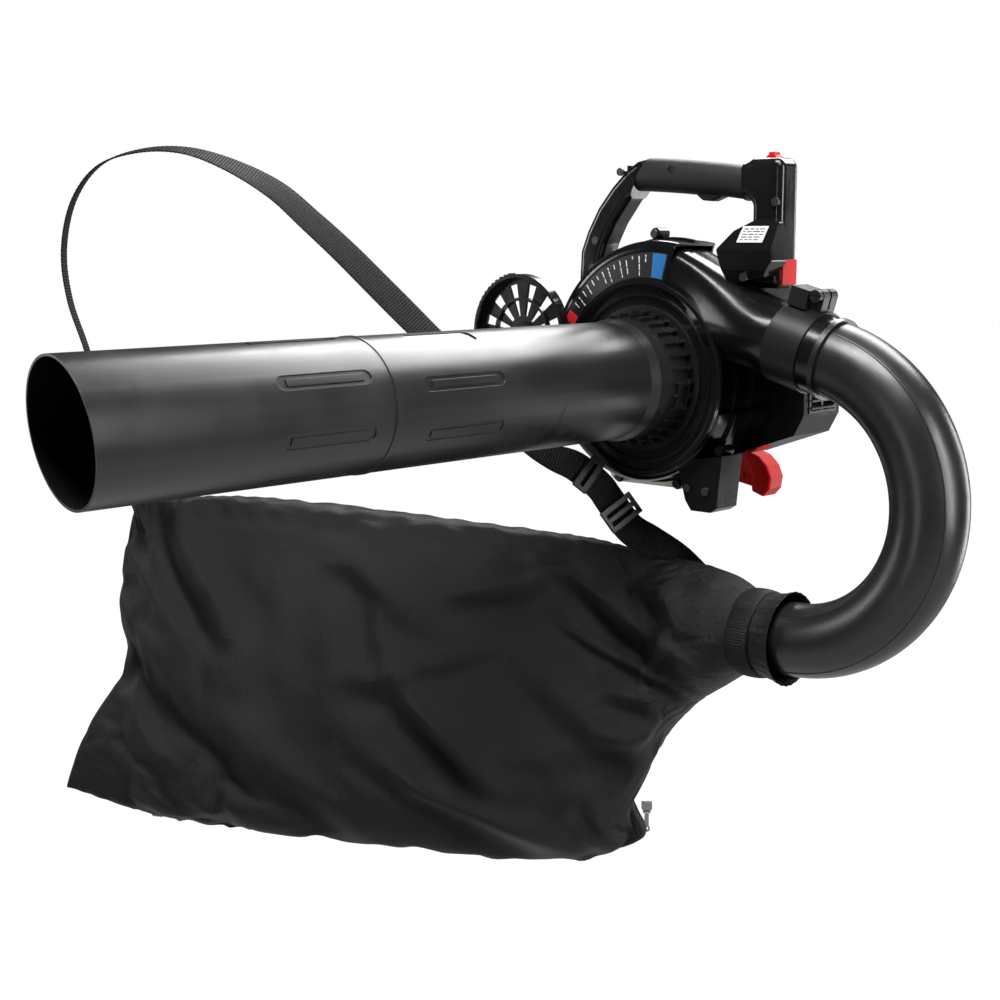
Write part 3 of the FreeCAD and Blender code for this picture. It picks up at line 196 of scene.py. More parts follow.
class Look:
    """A procedural material being wired: its tree, its shader and its object coordinates in metres."""

    def __init__(self, name, colour, roughness):
        self.material = bpy.data.materials.new(name)
        self.material.use_nodes = True
        self.tree = self.material.node_tree
        self.shader = self.tree.nodes["Principled BSDF"]
        self.set({"Base Color": (*colour, 1), "Roughness": roughness})
        self.where = self.tree.nodes.new("ShaderNodeTexCoord").outputs["Object"]
        self.base = None            # the socket that the base colour comes from
        self.normal = None          # the normal that the next bump builds on

    def set(self, values):
        set_inputs(self.shader, values)

    def new(self, kind, **settings):
        node = self.tree.nodes.new(kind)
        for key, value in settings.items():
            setattr(node, key, value)
        return node

    def link(self, out, into):
        self.tree.links.new(out, into)

    def mapped(self, change, amounts):
        """The object coordinates after a change, which is "Rotation" or "Scale"."""
        node = self.new("ShaderNodeMapping")
        set_inputs(node, {change: amounts})
        self.link(self.where, node.inputs["Vector"])
        return node.outputs["Vector"]

    def noise(self, scale, detail, source=None):
        node = self.new("ShaderNodeTexNoise")
        set_inputs(node, {"Scale": scale, "Detail": detail})
        self.link(source or self.where, node.inputs["Vector"])
        return node.outputs["Fac"]

    def cells(self, scale):
        node = self.new("ShaderNodeTexVoronoi")
        set_inputs(node, {"Scale": scale})
        self.link(self.where, node.inputs["Vector"])
        return node.outputs["Distance"]

    def wave(self, period, direction, source):
        """Sine wave along one coordinate, with its period in metres."""
        node = self.new("ShaderNodeTexWave", bands_direction=direction)
        set_inputs(node, {"Scale": math.pi / period / 10})
        self.link(source, node.inputs["Vector"])
        return node.outputs["Fac"]

    def maths(self, operation, a, b):
        node = self.new("ShaderNodeMath", operation=operation)
        for socket, value in zip(node.inputs, (a, b)):
            if isinstance(value, (int, float)):
                socket.default_value = value
            else:
                self.link(value, socket)
        return node.outputs["Value"]

    def weighted(self, a, share_a, b, share_b):
        return self.maths("ADD", self.maths("MULTIPLY", a, share_a), self.maths("MULTIPLY", b, share_b))

    def ranged(self, value, spread, into):
        """Maps one range of a value, such as (0.3, 0.7), onto another."""
        node = self.new("ShaderNodeMapRange")
        set_inputs(node, {"From Min": spread[0], "From Max": spread[1]})
        set_inputs(node, {"To Min": into[0], "To Max": into[1]})
        self.link(value, node.inputs["Value"])
        return node.outputs["Result"]

    def blend(self, share, first, second):
        """Colour between two, which are colours or sockets."""
        node = self.new("ShaderNodeMix", data_type="RGBA")
        self.link(share, node.inputs["Factor"])
        for index, value in ((MIX_FIRST, first), (MIX_SECOND, second)):
            if isinstance(value, tuple):
                node.inputs[index].default_value = (*value, 1)
            else:
                self.link(value, node.inputs[index])
        return node.outputs[MIX_RESULT]

    def edge_wear(self, radius):
        """The normal rounded over a radius, and how much it turns: 0 on flats, near 1 on a sharp edge."""
        soft = self.new("ShaderNodeBevel", samples=4)
        set_inputs(soft, {"Radius": radius})
        hard = self.new("ShaderNodeNewGeometry")
        dot = self.new("ShaderNodeVectorMath", operation="DOT_PRODUCT")
        self.link(soft.outputs["Normal"], dot.inputs[0])
        self.link(hard.outputs["Normal"], dot.inputs[1])
        return soft.outputs["Normal"], self.ranged(dot.outputs["Value"], (0.75, 0.99), (1.0, 0.0))

    def bump(self, height, distance, strength=1.0):
        """Relief up to a distance in metres, on top of the relief that is there."""
        node = self.new("ShaderNodeBump")
        set_inputs(node, {"Strength": strength, "Distance": distance})
        self.link(height, node.inputs["Height"])
        if self.normal is not None:
            self.link(self.normal, node.inputs["Normal"])
        self.normal = node.outputs["Normal"]
        self.link(self.normal, self.shader.inputs["Normal"])

    def colour(self, out):
        self.base = out
        self.link(out, self.shader.inputs["Base Color"])

    def roughness(self, out):
        self.link(out, self.shader.inputs["Roughness"])


def moulded(name, colour, worn, rough, grain, grain_depth, edge=0.0006, shine=0.5):
    """Moulded or cast skin: fine grain, cloudy gloss, and edges rubbed to the worn colour."""
    look = Look(name, colour, rough[0])
    look.normal, wear = look.edge_wear(edge)
    cloud = look.noise(14, 4)
    patches = look.noise(160, 3)
    rubbed = look.maths("MULTIPLY", wear, look.ranged(patches, (0.35, 0.7), (0.0, 1.0)))
    tone = look.blend(look.ranged(cloud, (0.3, 0.7), (0.0, 0.5)), colour, tuple(c * 1.5 for c in colour))
    look.colour(look.blend(rubbed, tone, worn))
    look.roughness(look.ranged(look.weighted(cloud, 0.7, patches, 0.3), (0.3, 0.7), rough))
    look.bump(look.noise(grain, 2), grain_depth)
    look.set({"Specular IOR Level": shine})
    return look


def gloss_black():
    return moulded("gloss_black", (0.004, 0.004, 0.0045), worn=(0.02, 0.02, 0.021), rough=(0.13, 0.24),
                   grain=380, grain_depth=0.00004, shine=0.4).material


def satin_black():
    return moulded("satin_black", (0.006, 0.006, 0.006), worn=(0.025, 0.025, 0.025), rough=(0.30, 0.44),
                   grain=900, grain_depth=0.00008, shine=0.3).material


def red_plastic():
    return moulded("red_plastic", (0.42, 0.004, 0.003), worn=(0.5, 0.02, 0.012), rough=(0.30, 0.42),
                   grain=500, grain_depth=0.00005, shine=0.12).material


def hose_rubber():
    return moulded("hose_rubber", (0.014, 0.014, 0.014), worn=(0.04, 0.04, 0.04), rough=(0.45, 0.6),
                   grain=600, grain_depth=0.00008).material


def tube_plastic():
    """Blow-moulded tube: long faint draw lines along the tube, soft sheen."""
    look = moulded("tube_plastic", (0.008, 0.0078, 0.008), worn=(0.03, 0.03, 0.03), rough=(0.27, 0.38),
                   grain=700, grain_depth=0.00008)
    lines = look.noise(1.0, 4, look.mapped("Scale", (110, 3, 110)))
    streaks = look.ranged(lines, (0.35, 0.65), (0.0, 1.0))
    look.colour(look.blend(look.maths("MULTIPLY", streaks, 0.35), look.base, (0.016, 0.0155, 0.0155)))
    look.bump(lines, 0.00035, 0.35)
    return look.material


def grip_rubber():
    look = moulded("grip_rubber", (0.006, 0.006, 0.006), worn=(0.02, 0.02, 0.02), rough=(0.46, 0.6),
                   grain=900, grain_depth=0.0001, edge=0.0012, shine=0.28)
    look.bump(look.cells(900), 0.00025, 0.7)
    return look.material


def steel():
    look = moulded("steel", (0.42, 0.42, 0.43), worn=(0.7, 0.7, 0.7), rough=(0.22, 0.38),
                   grain=2500, grain_depth=0.00002, edge=0.0003)
    look.set({"Metallic": 1.0})
    return look.material


def black_steel():
    look = moulded("black_steel", (0.045, 0.045, 0.046), worn=(0.25, 0.25, 0.25), rough=(0.3, 0.45),
                   grain=2500, grain_depth=0.00002, edge=0.0003)
    look.set({"Metallic": 0.8})
    return look.material


def cast_aluminium():
    look = moulded("cast_aluminium", (0.40, 0.40, 0.41), worn=(0.62, 0.62, 0.62), rough=(0.38, 0.55),
                   grain=1300, grain_depth=0.00012)
    look.set({"Metallic": 1.0})
    return look.material


def tank_plastic():
    look = moulded("tank_plastic", (0.66, 0.66, 0.60), worn=(0.8, 0.8, 0.76), rough=(0.32, 0.45),
                   grain=500, grain_depth=0.00006)
    look.set({"Subsurface Weight": 0.25, "Subsurface Scale": 0.01})
    return look.material


def primer_rubber():
    look = moulded("primer_rubber", (0.42, 0.05, 0.03), worn=(0.5, 0.1, 0.06), rough=(0.12, 0.2),
                   grain=300, grain_depth=0.00002)
    look.set({"Transmission Weight": 0.35})
    return look.material


def foam():
    look = Look("foam", (0.05, 0.05, 0.052), 0.9)
    holes = look.cells(700)
    # The pores are painted darker than the foam between them: painted shade in their hollows.
    depth = look.ranged(holes, (0.1, 0.5), (1.0, 0.0))
    look.colour(look.blend(depth, (0.09, 0.09, 0.09), (0.01, 0.01, 0.01)))
    look.bump(holes, 0.0008)
    return look.material


BAG_X, BAG_Y = 0.74, 0.67               # the bag runs backwards along this slope, seen from above
BAG_THREAD = 0.0011
RIB_PERIOD = 0.0032                     # of the strap's webbing, in metres
THREAD_PERIOD = 0.0016


def bag_cloth():
    """Coarse black polyester, with a painted highlight where the threads crown."""
    look = Look("bag_cloth", (0.012, 0.012, 0.0125), 0.6)
    flat = look.mapped("Rotation", (0, 0, -math.atan2(BAG_Y, BAG_X)))
    weave = look.maths("MAXIMUM", look.wave(BAG_THREAD, "X", flat), look.wave(BAG_THREAD, "Z", flat))
    slubs = look.noise(520, 3, flat)
    cloud = look.noise(9, 3)
    # The slubs' crowns are painted lighter: a painted highlight on the cloth.
    crown_highlight = look.ranged(slubs, (0.4, 0.72), (0.0, 1.0))
    look.colour(look.blend(crown_highlight, (0.001, 0.001, 0.0011), (0.0055, 0.0055, 0.0056)))
    look.roughness(look.ranged(cloud, (0.3, 0.7), (0.40, 0.54)))
    look.set({"Specular IOR Level": 0.26, "Sheen Weight": 0.015, "Sheen Roughness": 0.4})
    look.bump(look.weighted(weave, 0.5, slubs, 0.9), 0.0008, 0.8)
    return look.material


def strap_web():
    """Ribbed webbing: ribs across, and fine threads along. UV is metres along and across."""
    look = Look("strap_web", (0.012, 0.012, 0.012), 0.6)
    uv = look.new("ShaderNodeTexCoord").outputs["UV"]
    ribs = look.wave(RIB_PERIOD, "X", uv)
    threads = look.wave(THREAD_PERIOD, "Y", uv)
    mixed = look.weighted(ribs, 0.6, threads, 0.25)
    # The crowns of the ribs and threads are painted lighter: a painted highlight on the webbing.
    crown_highlight = look.maths("MULTIPLY", mixed, look.noise(800, 2, uv))
    look.colour(look.blend(crown_highlight, (0.001, 0.001, 0.001), (0.008, 0.008, 0.008)))
    look.set({"Specular IOR Level": 0.18})
    look.bump(mixed, 0.0009, 0.9)
    return look.material


def rope():
    """Light and dark strands crossing at 45 degrees."""
    look = Look("rope", (0.3, 0.3, 0.3), 0.7)
    slanted = look.mapped("Rotation", (0, math.radians(45), 0))
    strand = math.pi / 700
    braid = look.maths("MULTIPLY", look.wave(strand, "X", slanted), look.wave(strand, "Z", slanted))
    look.colour(look.blend(braid, (0.05, 0.05, 0.05), (0.45, 0.44, 0.42)))
    look.bump(braid, 0.0006)
    return look.material


def make_materials():
    """The materials by name, which is also the name of the slot that uses each."""
    makers = (gloss_black, satin_black, tube_plastic, grip_rubber, bag_cloth, strap_web, red_plastic, steel,
              black_steel, cast_aluminium, tank_plastic, foam, primer_rubber, hose_rubber, rope)
    return {maker.__name__: maker() for maker in makers}


SHARP_ANGLE = math.radians(32)


def dress_cad_nodes():
    for row in frame["record"]["subparts"]:
        mesh = nodes[row["node"]].data
        mesh.shade_smooth()
        mesh.set_sharp_from_angle(angle=SHARP_ANGLE)
        mesh.materials.clear()
        mesh.materials.append(looks[row["material_slot"]])


# ---------------------------------------------------------------- mesh helpers

def piece(name, points, faces, mat, body, smooth=True):
    """A new mesh piece that rides on a body, if one is named; its points are in the frame, in metres."""
    mesh = bpy.data.meshes.new(name)
    mesh.from_pydata([tuple(p) for p in points], [], faces)
    mesh.update()
    if smooth:
        mesh.shade_smooth()
    mesh.materials.append(mat)
    obj = bpy.data.objects.new(name, mesh)
    scene.collection.objects.link(obj)
    if body:
        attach(obj, body)
    return obj


def thicken(obj, thickness):
    """Gives a surface a thickness in metres, inwards."""
    modifier = obj.modifiers.new("thickness", "SOLIDIFY")
    modifier.thickness = thickness
    modifier.offset = -1


def grid_faces(rows, columns, closed):
    """Quads of a grid of points given row by row; closed joins the last column to the first."""
    faces = []
    for i in range(rows - 1):
        for j in range(columns if closed else columns - 1):
            k = (j + 1) % columns
            faces.append((i * columns + j, i * columns + k, (i + 1) * columns + k, (i + 1) * columns + j))
    return faces


def swept(name, sections, mat, body):
    """Surface through closed sections, which are lists of points, with both ends capped."""
    rows, columns = len(sections), len(sections[0])
    points = [p for section in sections for p in section]
    faces = grid_faces(rows, columns, True)
    faces.append(tuple(reversed(range(columns))))
    faces.append(tuple(range((rows - 1) * columns, rows * columns)))
    return piece(name, points, faces, mat, body)


def smooth_line(points, steps):
    """Catmull-Rom curve through tuples of numbers, with steps points on each stretch."""
    line = []
    for i in range(len(points) - 1):
        a = points[max(i - 1, 0)]
        b, c = points[i], points[i + 1]
        d = points[min(i + 2, len(points) - 1)]
        for k in range(steps):
            t = k / steps
            line.append(tuple(0.5 * (2 * q + (r - p) * t + (2 * p - 5 * q + 4 * r - w) * t * t
                                     + (3 * q - p - 3 * r + w) * t ** 3)
                              for p, q, r, w in zip(a, b, c, d)))
    line.append(tuple(points[-1]))
    return line


def ramp(value, start, end):
    """0 at the start, 1 at the end, and neither less nor more outside."""
    return min(1.0, max(0.0, (value - start) / (end - start)))


def bell(value, middle, width):
    """1 at the middle, and close to 0 two widths away from it."""
    return math.exp(-((value - middle) / width) ** 2)


# ---------------------------------------------------------------- debris bag

BAG_LINE = Vector((-BAG_X, -BAG_Y, 0)).normalized()     # the way the bag runs from the cuff
BAG_OUT = Vector((BAG_Y, -BAG_X, 0)).normalized()       # out of its near side
CUFF_Z = -272
# x, y, turn of the section in degrees, lowest z, highest z, half thickness, lean, squareness
BAG_STATIONS = [
    (183, 0, 0, CUFF_Z - 52, CUFF_Z + 51, 50, 0, 2.0),
    (172, 0, 0, CUFF_Z - 48, CUFF_Z + 47.5, 47, 0, 2.0),
    (156, 0, 0, CUFF_Z - 46, CUFF_Z + 45.5, 45, 0, 2.0),
    (130, 0, 0, CUFF_Z - 47, CUFF_Z + 46.5, 46, 0, 2.0),
    (100, 0, 0, -338, -213, 56, 0, 2.0),
    (52, 2, 12, -374, -206, 60, 0, 2.1),
    (4, -8, 28, -432, -200, 60, -8, 2.2),
    (-38, -34, 42, -543, -186, 60, -14, 2.5),
    (-110, -99, 42, -556, -174, 66, 0, 2.6),
    (-222, -201, 42, -536, -154, 68, 0, 2.6),
    (-333, -301, 42, -526, -138, 56, 4, 2.6),
    (-414, -375, 42, -509, -137, 34, 24, 2.6),
    (-470, -426, 42, -478, -142, 3, 46, 2.6),
]
BAG_ROUND = 112             # points round a section
BAG_STEPS = 11              # sections from one station to the next
BAG_END = 660               # how far along the bag ends
BAG_MIRROR = 700            # the far side's creases are the near side's, mirrored about half of this
GATHERS = 30                # round the cuff
CLOTH_THICKNESS = 0.0009
SETTLE_FRAMES = 26
SETTLE_CAP = 0.014          # how far a point may move as the cloth settles, in metres
# Creases of the near side: start and end as (along, up), width, depth; ridge above and hollow below
BAG_FOLDS = [
    ((-44, -330), (106, -196), 15, 8), ((-42, -352), (72, -284), 7, 7), ((72, -284), (108, -262), 6, 4),
    ((-16, -272), (6, -212), 16, 6), ((-40, -362), (88, -326), 14, 5), ((-30, -374), (104, -402), 18, 6),
    ((194, -288), (352, -326), 12, 5), ((284, -332), (190, -448), 16, 8), ((262, -448), (112, -522), 17, 10),
    ((468, -294), (540, -164), 20, 5), ((318, -246), (300, -300), 12, 4), ((176, -176), (112, -158), 14, 7),
    ((226, -226), (120, -208), 18, 6), ((330, -402), (240, -470), 12, 4), ((420, -420), (330, -500), 18, 4),
    ((560, -250), (470, -330), 16, 3), ((360, -180), (250, -260), 20, 4), ((120, -330), (10, -420), 20, 5),
    ((70, -470), (44, -548), 7, 5), ((56, -480), (20, -530), 5, 4), ((92, -500), (60, -556), 8, 5),
]
FOLD_RELIEF = 2.1           # how much deeper the creases are than listed
FOLD_OVERRUN = 0.15         # share of its length by which a crease fades past each end
# At the zip's end: how far the cloth is pushed along the bag, and the height and width of that push
NOSE_PUSHES = [(-21.6, -534, 20), (18, -478, 22), (6.3, -560, 12)]
FAR_BOW = 26                # how far the far edge is bowed inwards


def bag_coordinates(point):
    """How far a frame point is along the bag and up, in millimetres from the fan's centre."""
    local = (point - FAN) / MM
    return local.dot(BAG_LINE), local.z


def fold_height(along, up):
    """Height in millimetres that the creases of the near side add at a point."""
    total = 0.0
    for (a0, z0), (a1, z1), width, depth in BAG_FOLDS:
        da, dz = a1 - a0, z1 - z0
        length = math.hypot(da, dz)
        t = ((along - a0) * da + (up - z0) * dz) / length ** 2
        if not -FOLD_OVERRUN < t < 1 + FOLD_OVERRUN:
            continue
        above = ((along - a0) * dz - (up - z0) * da) / length * (1 if da > 0 else -1)
        fade = max(0.0, math.sin(math.pi * (t + FOLD_OVERRUN) / (1 + 2 * FOLD_OVERRUN))) ** 0.7
        total += depth * fade * (bell(above, 0, width) - 0.9 * bell(above, 1.5 * width, width))
    return total


def bag_section(station):
    """Closed ring of points, a squarish oval that leans along the bag."""
    x, y, turn, low, high, half, lean, squareness = station
    angle = math.radians(turn)
    across = Vector((math.sin(angle), -math.cos(angle), 0)) * half
    upright = Vector((0, 0, (high - low) / 2)) - BAG_LINE * lean
    centre = Vector((x, y, (low + high) / 2))
    ring = []
    for k in range(BAG_ROUND):
        v = 2 * math.pi * k / BAG_ROUND
        c, s = math.cos(v), math.sin(v)
        a = math.copysign(abs(c) ** (2 / squareness * 1.05), c)
        b = math.copysign(abs(s) ** (2 / squareness), s)
        ring.append(FAN + (centre + across * a + upright * b) * MM)
    return ring


def crumple(point):
    """Draws the zip's end out into a blunt nose under a hollow, and bows the far edge inwards."""
    along, up = bag_coordinates(point)
    near_end = 1 / (1 + math.exp((along - 95) / 22))
    nose = sum(push * bell(up, height, width) for push, height, width in NOSE_PUSHES)
    bow = FAR_BOW * bell(along, 640, 45) * bell(up, -330, 75)
    return point + BAG_LINE * (nose * near_end - bow) * MM


def soft_noise(point, size, seed):
    return noise.noise(point / size + Vector((seed, seed * 1.7, -seed)))


def sharp_noise(point, size, seed):
    """Noise with crisp creases between rounded pads, near 0 on average."""
    return 0.35 - abs(soft_noise(point, size, seed)) ** 0.75


# Height of the waves in millimetres, their kind, size in metres and seed
WAVES = [
    (4.0, soft_noise, 0.085, 3.0),
    (1.5, soft_noise, 0.03, 8.0),
    (5.0, sharp_noise, 0.075, 5.0),
    (2.2, sharp_noise, 0.034, 11.0),
]


def bag_points():
    """The unsettled bag's points, ring after ring, and the number of rings."""
    rings = [bag_section(station) for station in smooth_line(BAG_STATIONS, BAG_STEPS)]
    points = []
    for ring in rings:
        middle = sum(ring, Vector()) / len(ring)
        for k, p in enumerate(ring):
            angle = 2 * math.pi * k / BAG_ROUND
            along, up = bag_coordinates(p)
            slack = ramp(along, -115, 5)
            flat = abs(math.cos(angle)) ** 0.5 * ramp(along, BAG_END, BAG_END - 60)
            waves = sum(height * kind(p, size, seed) for height, kind, size, seed in WAVES)
            if (p - middle).dot(BAG_OUT) > 0:
                side, creases = 1, fold_height(along, up)
            else:
                side, creases = -1, fold_height(BAG_MIRROR - along, up + 40 * math.sin(along / 90))
            push = (FOLD_RELIEF * creases * slack + waves * (0.25 + 0.75 * slack)) * flat
            gather = 0.8 * math.sin(GATHERS * angle) * ramp(abs(along + 120), 60, 0)
            points.append(crumple(p + BAG_OUT * side * push * MM) + (p - middle).normalized() * gather * MM)
    return points, len(rings)


def settle(obj, held, frames, cap):
    """Lets the cloth crumple under its own weight, with a little to spare, each point within the cap."""
    rest = [v.co.copy() for v in obj.data.vertices]
    group = obj.vertex_groups.new(name="held")
    for index, weight in held.items():
        group.add([index], weight, "REPLACE")
    cloth = obj.modifiers.new("cloth", "CLOTH")
    cloth.collision_settings.use_collision = False
    settings = cloth.settings
    settings.vertex_group_mass = "held"
    settings.quality = 6
    settings.mass = 0.25
    settings.tension_stiffness = 25
    settings.compression_stiffness = 25
    settings.shear_stiffness = 8
    settings.bending_stiffness = 0.4
    settings.shrink_min = -0.05
    settings.use_pressure = True
    settings.uniform_pressure_force = 1.2
    settings.effector_weights.gravity = 0.5
    scene.frame_start = 1
    scene.frame_end = frames
    for number in range(1, frames + 1):
        scene.frame_set(number)
    graph = bpy.context.evaluated_depsgraph_get()
    moved = [v.co.copy() for v in obj.evaluated_get(graph).data.vertices]
    obj.modifiers.remove(cloth)
    scene.frame_set(1)
    for vertex, before, after in zip(obj.data.vertices, rest, moved):
        step = after - before
        if step.length > cap:
            step *= cap / step.length
        vertex.co = before + step
    obj.data.update()
    obj.vertex_groups.clear()


def held_weights(points):
    """How firmly each point is held as the cloth settles: the cuff and nose most, then seam and far end."""
    held = {}
    for index, point in enumerate(points):
        along, up = bag_coordinates(point)
        upright = abs(math.sin(2 * math.pi * (index % BAG_ROUND) / BAG_ROUND))
        seam = 0.8 if upright > 0.985 else 0.0
        weight = 1.0 if along < -60 else max(ramp(along, 30, -90), seam, 0.6 * ramp(along, 560, 650))
        if weight > 0:
            held[index] = weight
    return held


def end_seam(first):
    """Faces that close the flat last ring, whose points start at first, across its thickness."""
    quarter = BAG_ROUND // 4
    faces = []
    for k in range(-quarter, quarter):
        corners = [k, k + 1, 2 * quarter - k - 1, 2 * quarter - k]
        faces.append(tuple(dict.fromkeys(first + corner % BAG_ROUND for corner in corners)))
    return faces


def make_bag():
    """The bag; returns the points of its lowest edge, from the cuff to the far end."""
    points, rings = bag_points()
    faces = grid_faces(rings, BAG_ROUND, True) + end_seam((rings - 1) * BAG_ROUND)
    bag = piece("bag_body", points, faces, looks["bag_cloth"], None)
    settle(bag, held_weights(points), SETTLE_FRAMES, SETTLE_CAP)
    bottoms = range(BAG_ROUND * 3 // 4, rings * BAG_ROUND, BAG_ROUND)
    lowest = [bag.data.vertices[index].co.copy() for index in bottoms]
    thicken(bag, CLOTH_THICKNESS)
    smooth = bag.modifiers.new("smooth", "SUBSURF")
    smooth.levels = smooth.render_levels = 1
    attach(bag, "frame")
    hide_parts("debris_bag")
    return lowest


BAND_FROM, BAND_TO = 128, 157           # x of the elastic's two edges
BAND_R = 46.4
BAND_RIBS = 96
BAND_RINGS = 9
POINTS_PER_RIB = 6


def make_cuff_band():
    """Elastic gathered round the cuff: fine ribs along the tube."""
    count = BAND_RIBS * POINTS_PER_RIB
    points = []
    for i in range(BAND_RINGS):
        t = i / (BAND_RINGS - 1)
        bulge = math.sin(math.pi * t)
        for k in range(count):
            angle = 2 * math.pi * k / count
            rib = 0.9 * abs(math.sin(BAND_RIBS * angle / 2)) * bulge ** 0.3
            r = BAND_R + 1.6 * bulge ** 0.5 + rib
            x = BAND_FROM + (BAND_TO - BAND_FROM) * t + 1.2 * math.sin(angle * 3)
            points.append(at(x, r * math.cos(angle), CUFF_Z + r * math.sin(angle)))
    band = piece("bag_elastic", points, grid_faces(BAND_RINGS, count, True), looks["bag_cloth"], "frame")
    thicken(band, 0.001)


# ---------------------------------------------------------------- zip

ZIP_FROM, ZIP_TO = 30, 590              # along the bag, in millimetres
ZIP_TAPER = 110                         # the tape narrows over this last stretch
TAPE_PITCH = 0.006
TAPE_HALF = 0.0085                      # half of the tape's width, in metres
TAPE_THICKNESS = 0.0008
TAPE_GAP = 0.0004                       # under the cloth
TOOTH_PITCH = 0.0021
TOOTH_DEPTH = 0.0013
TOOTH_GAP = 0.0012
TOOTH_STAGGER = 0.0004                  # of each row from the zip's middle
TOOTH_OUTLINE = ((-0.0007, -0.0012), (0.0007, -0.0012), (0.0005, 0.0022), (-0.0005, 0.0022))
BLOCK_FACES = ((3, 2, 1, 0), (4, 5, 6, 7), (0, 1, 5, 4), (1, 2, 6, 5), (2, 3, 7, 6), (3, 0, 4, 7))


def walk(line, pitch):
    """Points and directions at even distances along a line of frame points."""
    places = []
    travelled, wanted = 0.0, 0.0
    for a, b in zip(line, line[1:]):
        length = (b - a).length
        while wanted <= travelled + length and length > 0:
            places.append((a.lerp(b, (wanted - travelled) / length), (b - a).normalized()))
            wanted += pitch
        travelled += length
    return places


def make_zip(lowest):
    """Zip along the bag's lowest edge: tape, and two rows of teeth that meet in its middle."""
    line = [p for p in lowest if ZIP_FROM < bag_coordinates(p)[0] < ZIP_TO]
    down = Vector((0, 0, -1))
    tape = []
    for place, along in walk(line, TAPE_PITCH):
        width = max(0.2, ramp(bag_coordinates(place)[0], ZIP_TO, ZIP_TO - ZIP_TAPER))
        side = along.cross(down).normalized() * (TAPE_HALF * width)
        c = place + down * TAPE_GAP
        under = down * TAPE_THICKNESS
        tape.append([c + side, c - side, c - side + under, c + side + under])
    strip = swept("zip_tape", tape, looks["bag_cloth"], "frame")
    points, faces = [], []
    for number, (place, along) in enumerate(walk(line, TOOTH_PITCH)):
        side = along.cross(down).normalized() * (1 if number % 2 else -1)
        base = place + down * TOOTH_GAP + side * TOOTH_STAGGER
        first = len(points)
        for depth in (0.0, TOOTH_DEPTH):
            points += [base + along * a + side * b + down * depth for a, b in TOOTH_OUTLINE]
        faces += [tuple(first + n for n in quad) for quad in BLOCK_FACES]
    teeth = piece("zip_teeth", points, faces, looks["satin_black"], "frame", smooth=False)


# ---------------------------------------------------------------- shoulder strap

STRAP_WIDTH = 38.0
STRAP_THICKNESS = 2.2
STRAP_PITCH = 0.0014                    # from one section to the next, in metres
THIN_RIB = 0.72                         # thickness of every other section
# Along the bag's plane, up, out of the plane, and the webbing's turn: 0 is edge-on, 90 face-on
STRAP_ROUTE = [
    (580, -176, 3, 6), (592, -140, 4, 6), (600, -112, 6, 6), (618, -50, 10, 6), (635, 27, 12, 6),
    (653, 85, 10, 6), (658, 140, 8, 6), (646, 194, 4, 6), (617, 232, 0, 7), (572, 248, -6, 9),
    (523, 248, -8, 13), (474, 232, -8, 22), (425, 205, -8, 34), (387, 172, -6, 40), (349, 137, -4, 44),
    (310, 98, -2, 46), (277, 65, 0, 46), (230, 18, 2, 40), (190, -28, 4, 32), (149, -72, 6, 28),
    (118, -90, 8, 44), (92, -101, 8, 57), (66, -122, 8, 60), (54, -138, 9, 62), (31, -170, 11, 66),
    (6, -186, 14, 68), (-24, -206, 18, 68), (-50, -232, 14, 68),
]
# Half of the webbing's section, as shares of its half width and half thickness
STRAP_SIDE = [(1, 0), (0.97, 0.7), (0.9, 1), (0.3, 1), (-0.3, 1), (-0.9, 1), (-0.97, 0.7)]


def make_strap():
    """Ribbed webbing with rounded selvedges; its UV is metres along and across."""
    fine = smooth_line(STRAP_ROUTE, 40)
    centres = [FAN + (BAG_LINE * s + BAG_OUT * out + Vector((0, 0, z))) * MM for s, z, out, _ in fine]
    half_w, half_t = STRAP_WIDTH / 2 * MM, STRAP_THICKNESS / 2 * MM
    profile = STRAP_SIDE + [(-w, -t) for w, t in STRAP_SIDE]
    sections, lengths = [], []
    travelled, next_row = 0.0, 0.0
    for i in range(1, len(fine) - 1):
        travelled += (centres[i] - centres[i - 1]).length
        if travelled < next_row:
            continue
        next_row = travelled + STRAP_PITCH
        along = (centres[i + 1] - centres[i - 1]).normalized()
        flat = along.cross(BAG_OUT).normalized()
        face_on = flat.cross(along).normalized()
        angle = math.radians(fine[i][3])
        wide = face_on * math.cos(angle) + flat * math.sin(angle)
        thin = wide.cross(along).normalized()
        rib = THIN_RIB if len(sections) % 2 else 1.0
        sections.append([centres[i] + wide * (w * half_w) + thin * (t * half_t * rib) for w, t in profile])
        lengths.append(travelled)
    strap = swept("shoulder_strap_webbing", sections, looks["strap_web"], "frame")
    uv = strap.data.uv_layers.new(name="webbing")
    for loop in strap.data.loops:
        i, j = divmod(loop.vertex_index, len(profile))
        across = abs((j / len(profile)) * 2 - 1) * STRAP_WIDTH * MM
        uv.data[loop.index].uv = (lengths[i], across)
    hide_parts("shoulder_strap")


# ---------------------------------------------------------------- starter rope

ROPE_R = 0.0019
ROPE_SIDES = 12
ROPE_RINGS = 90
STRANDS = 4
STRAND_RELIEF = 0.00012


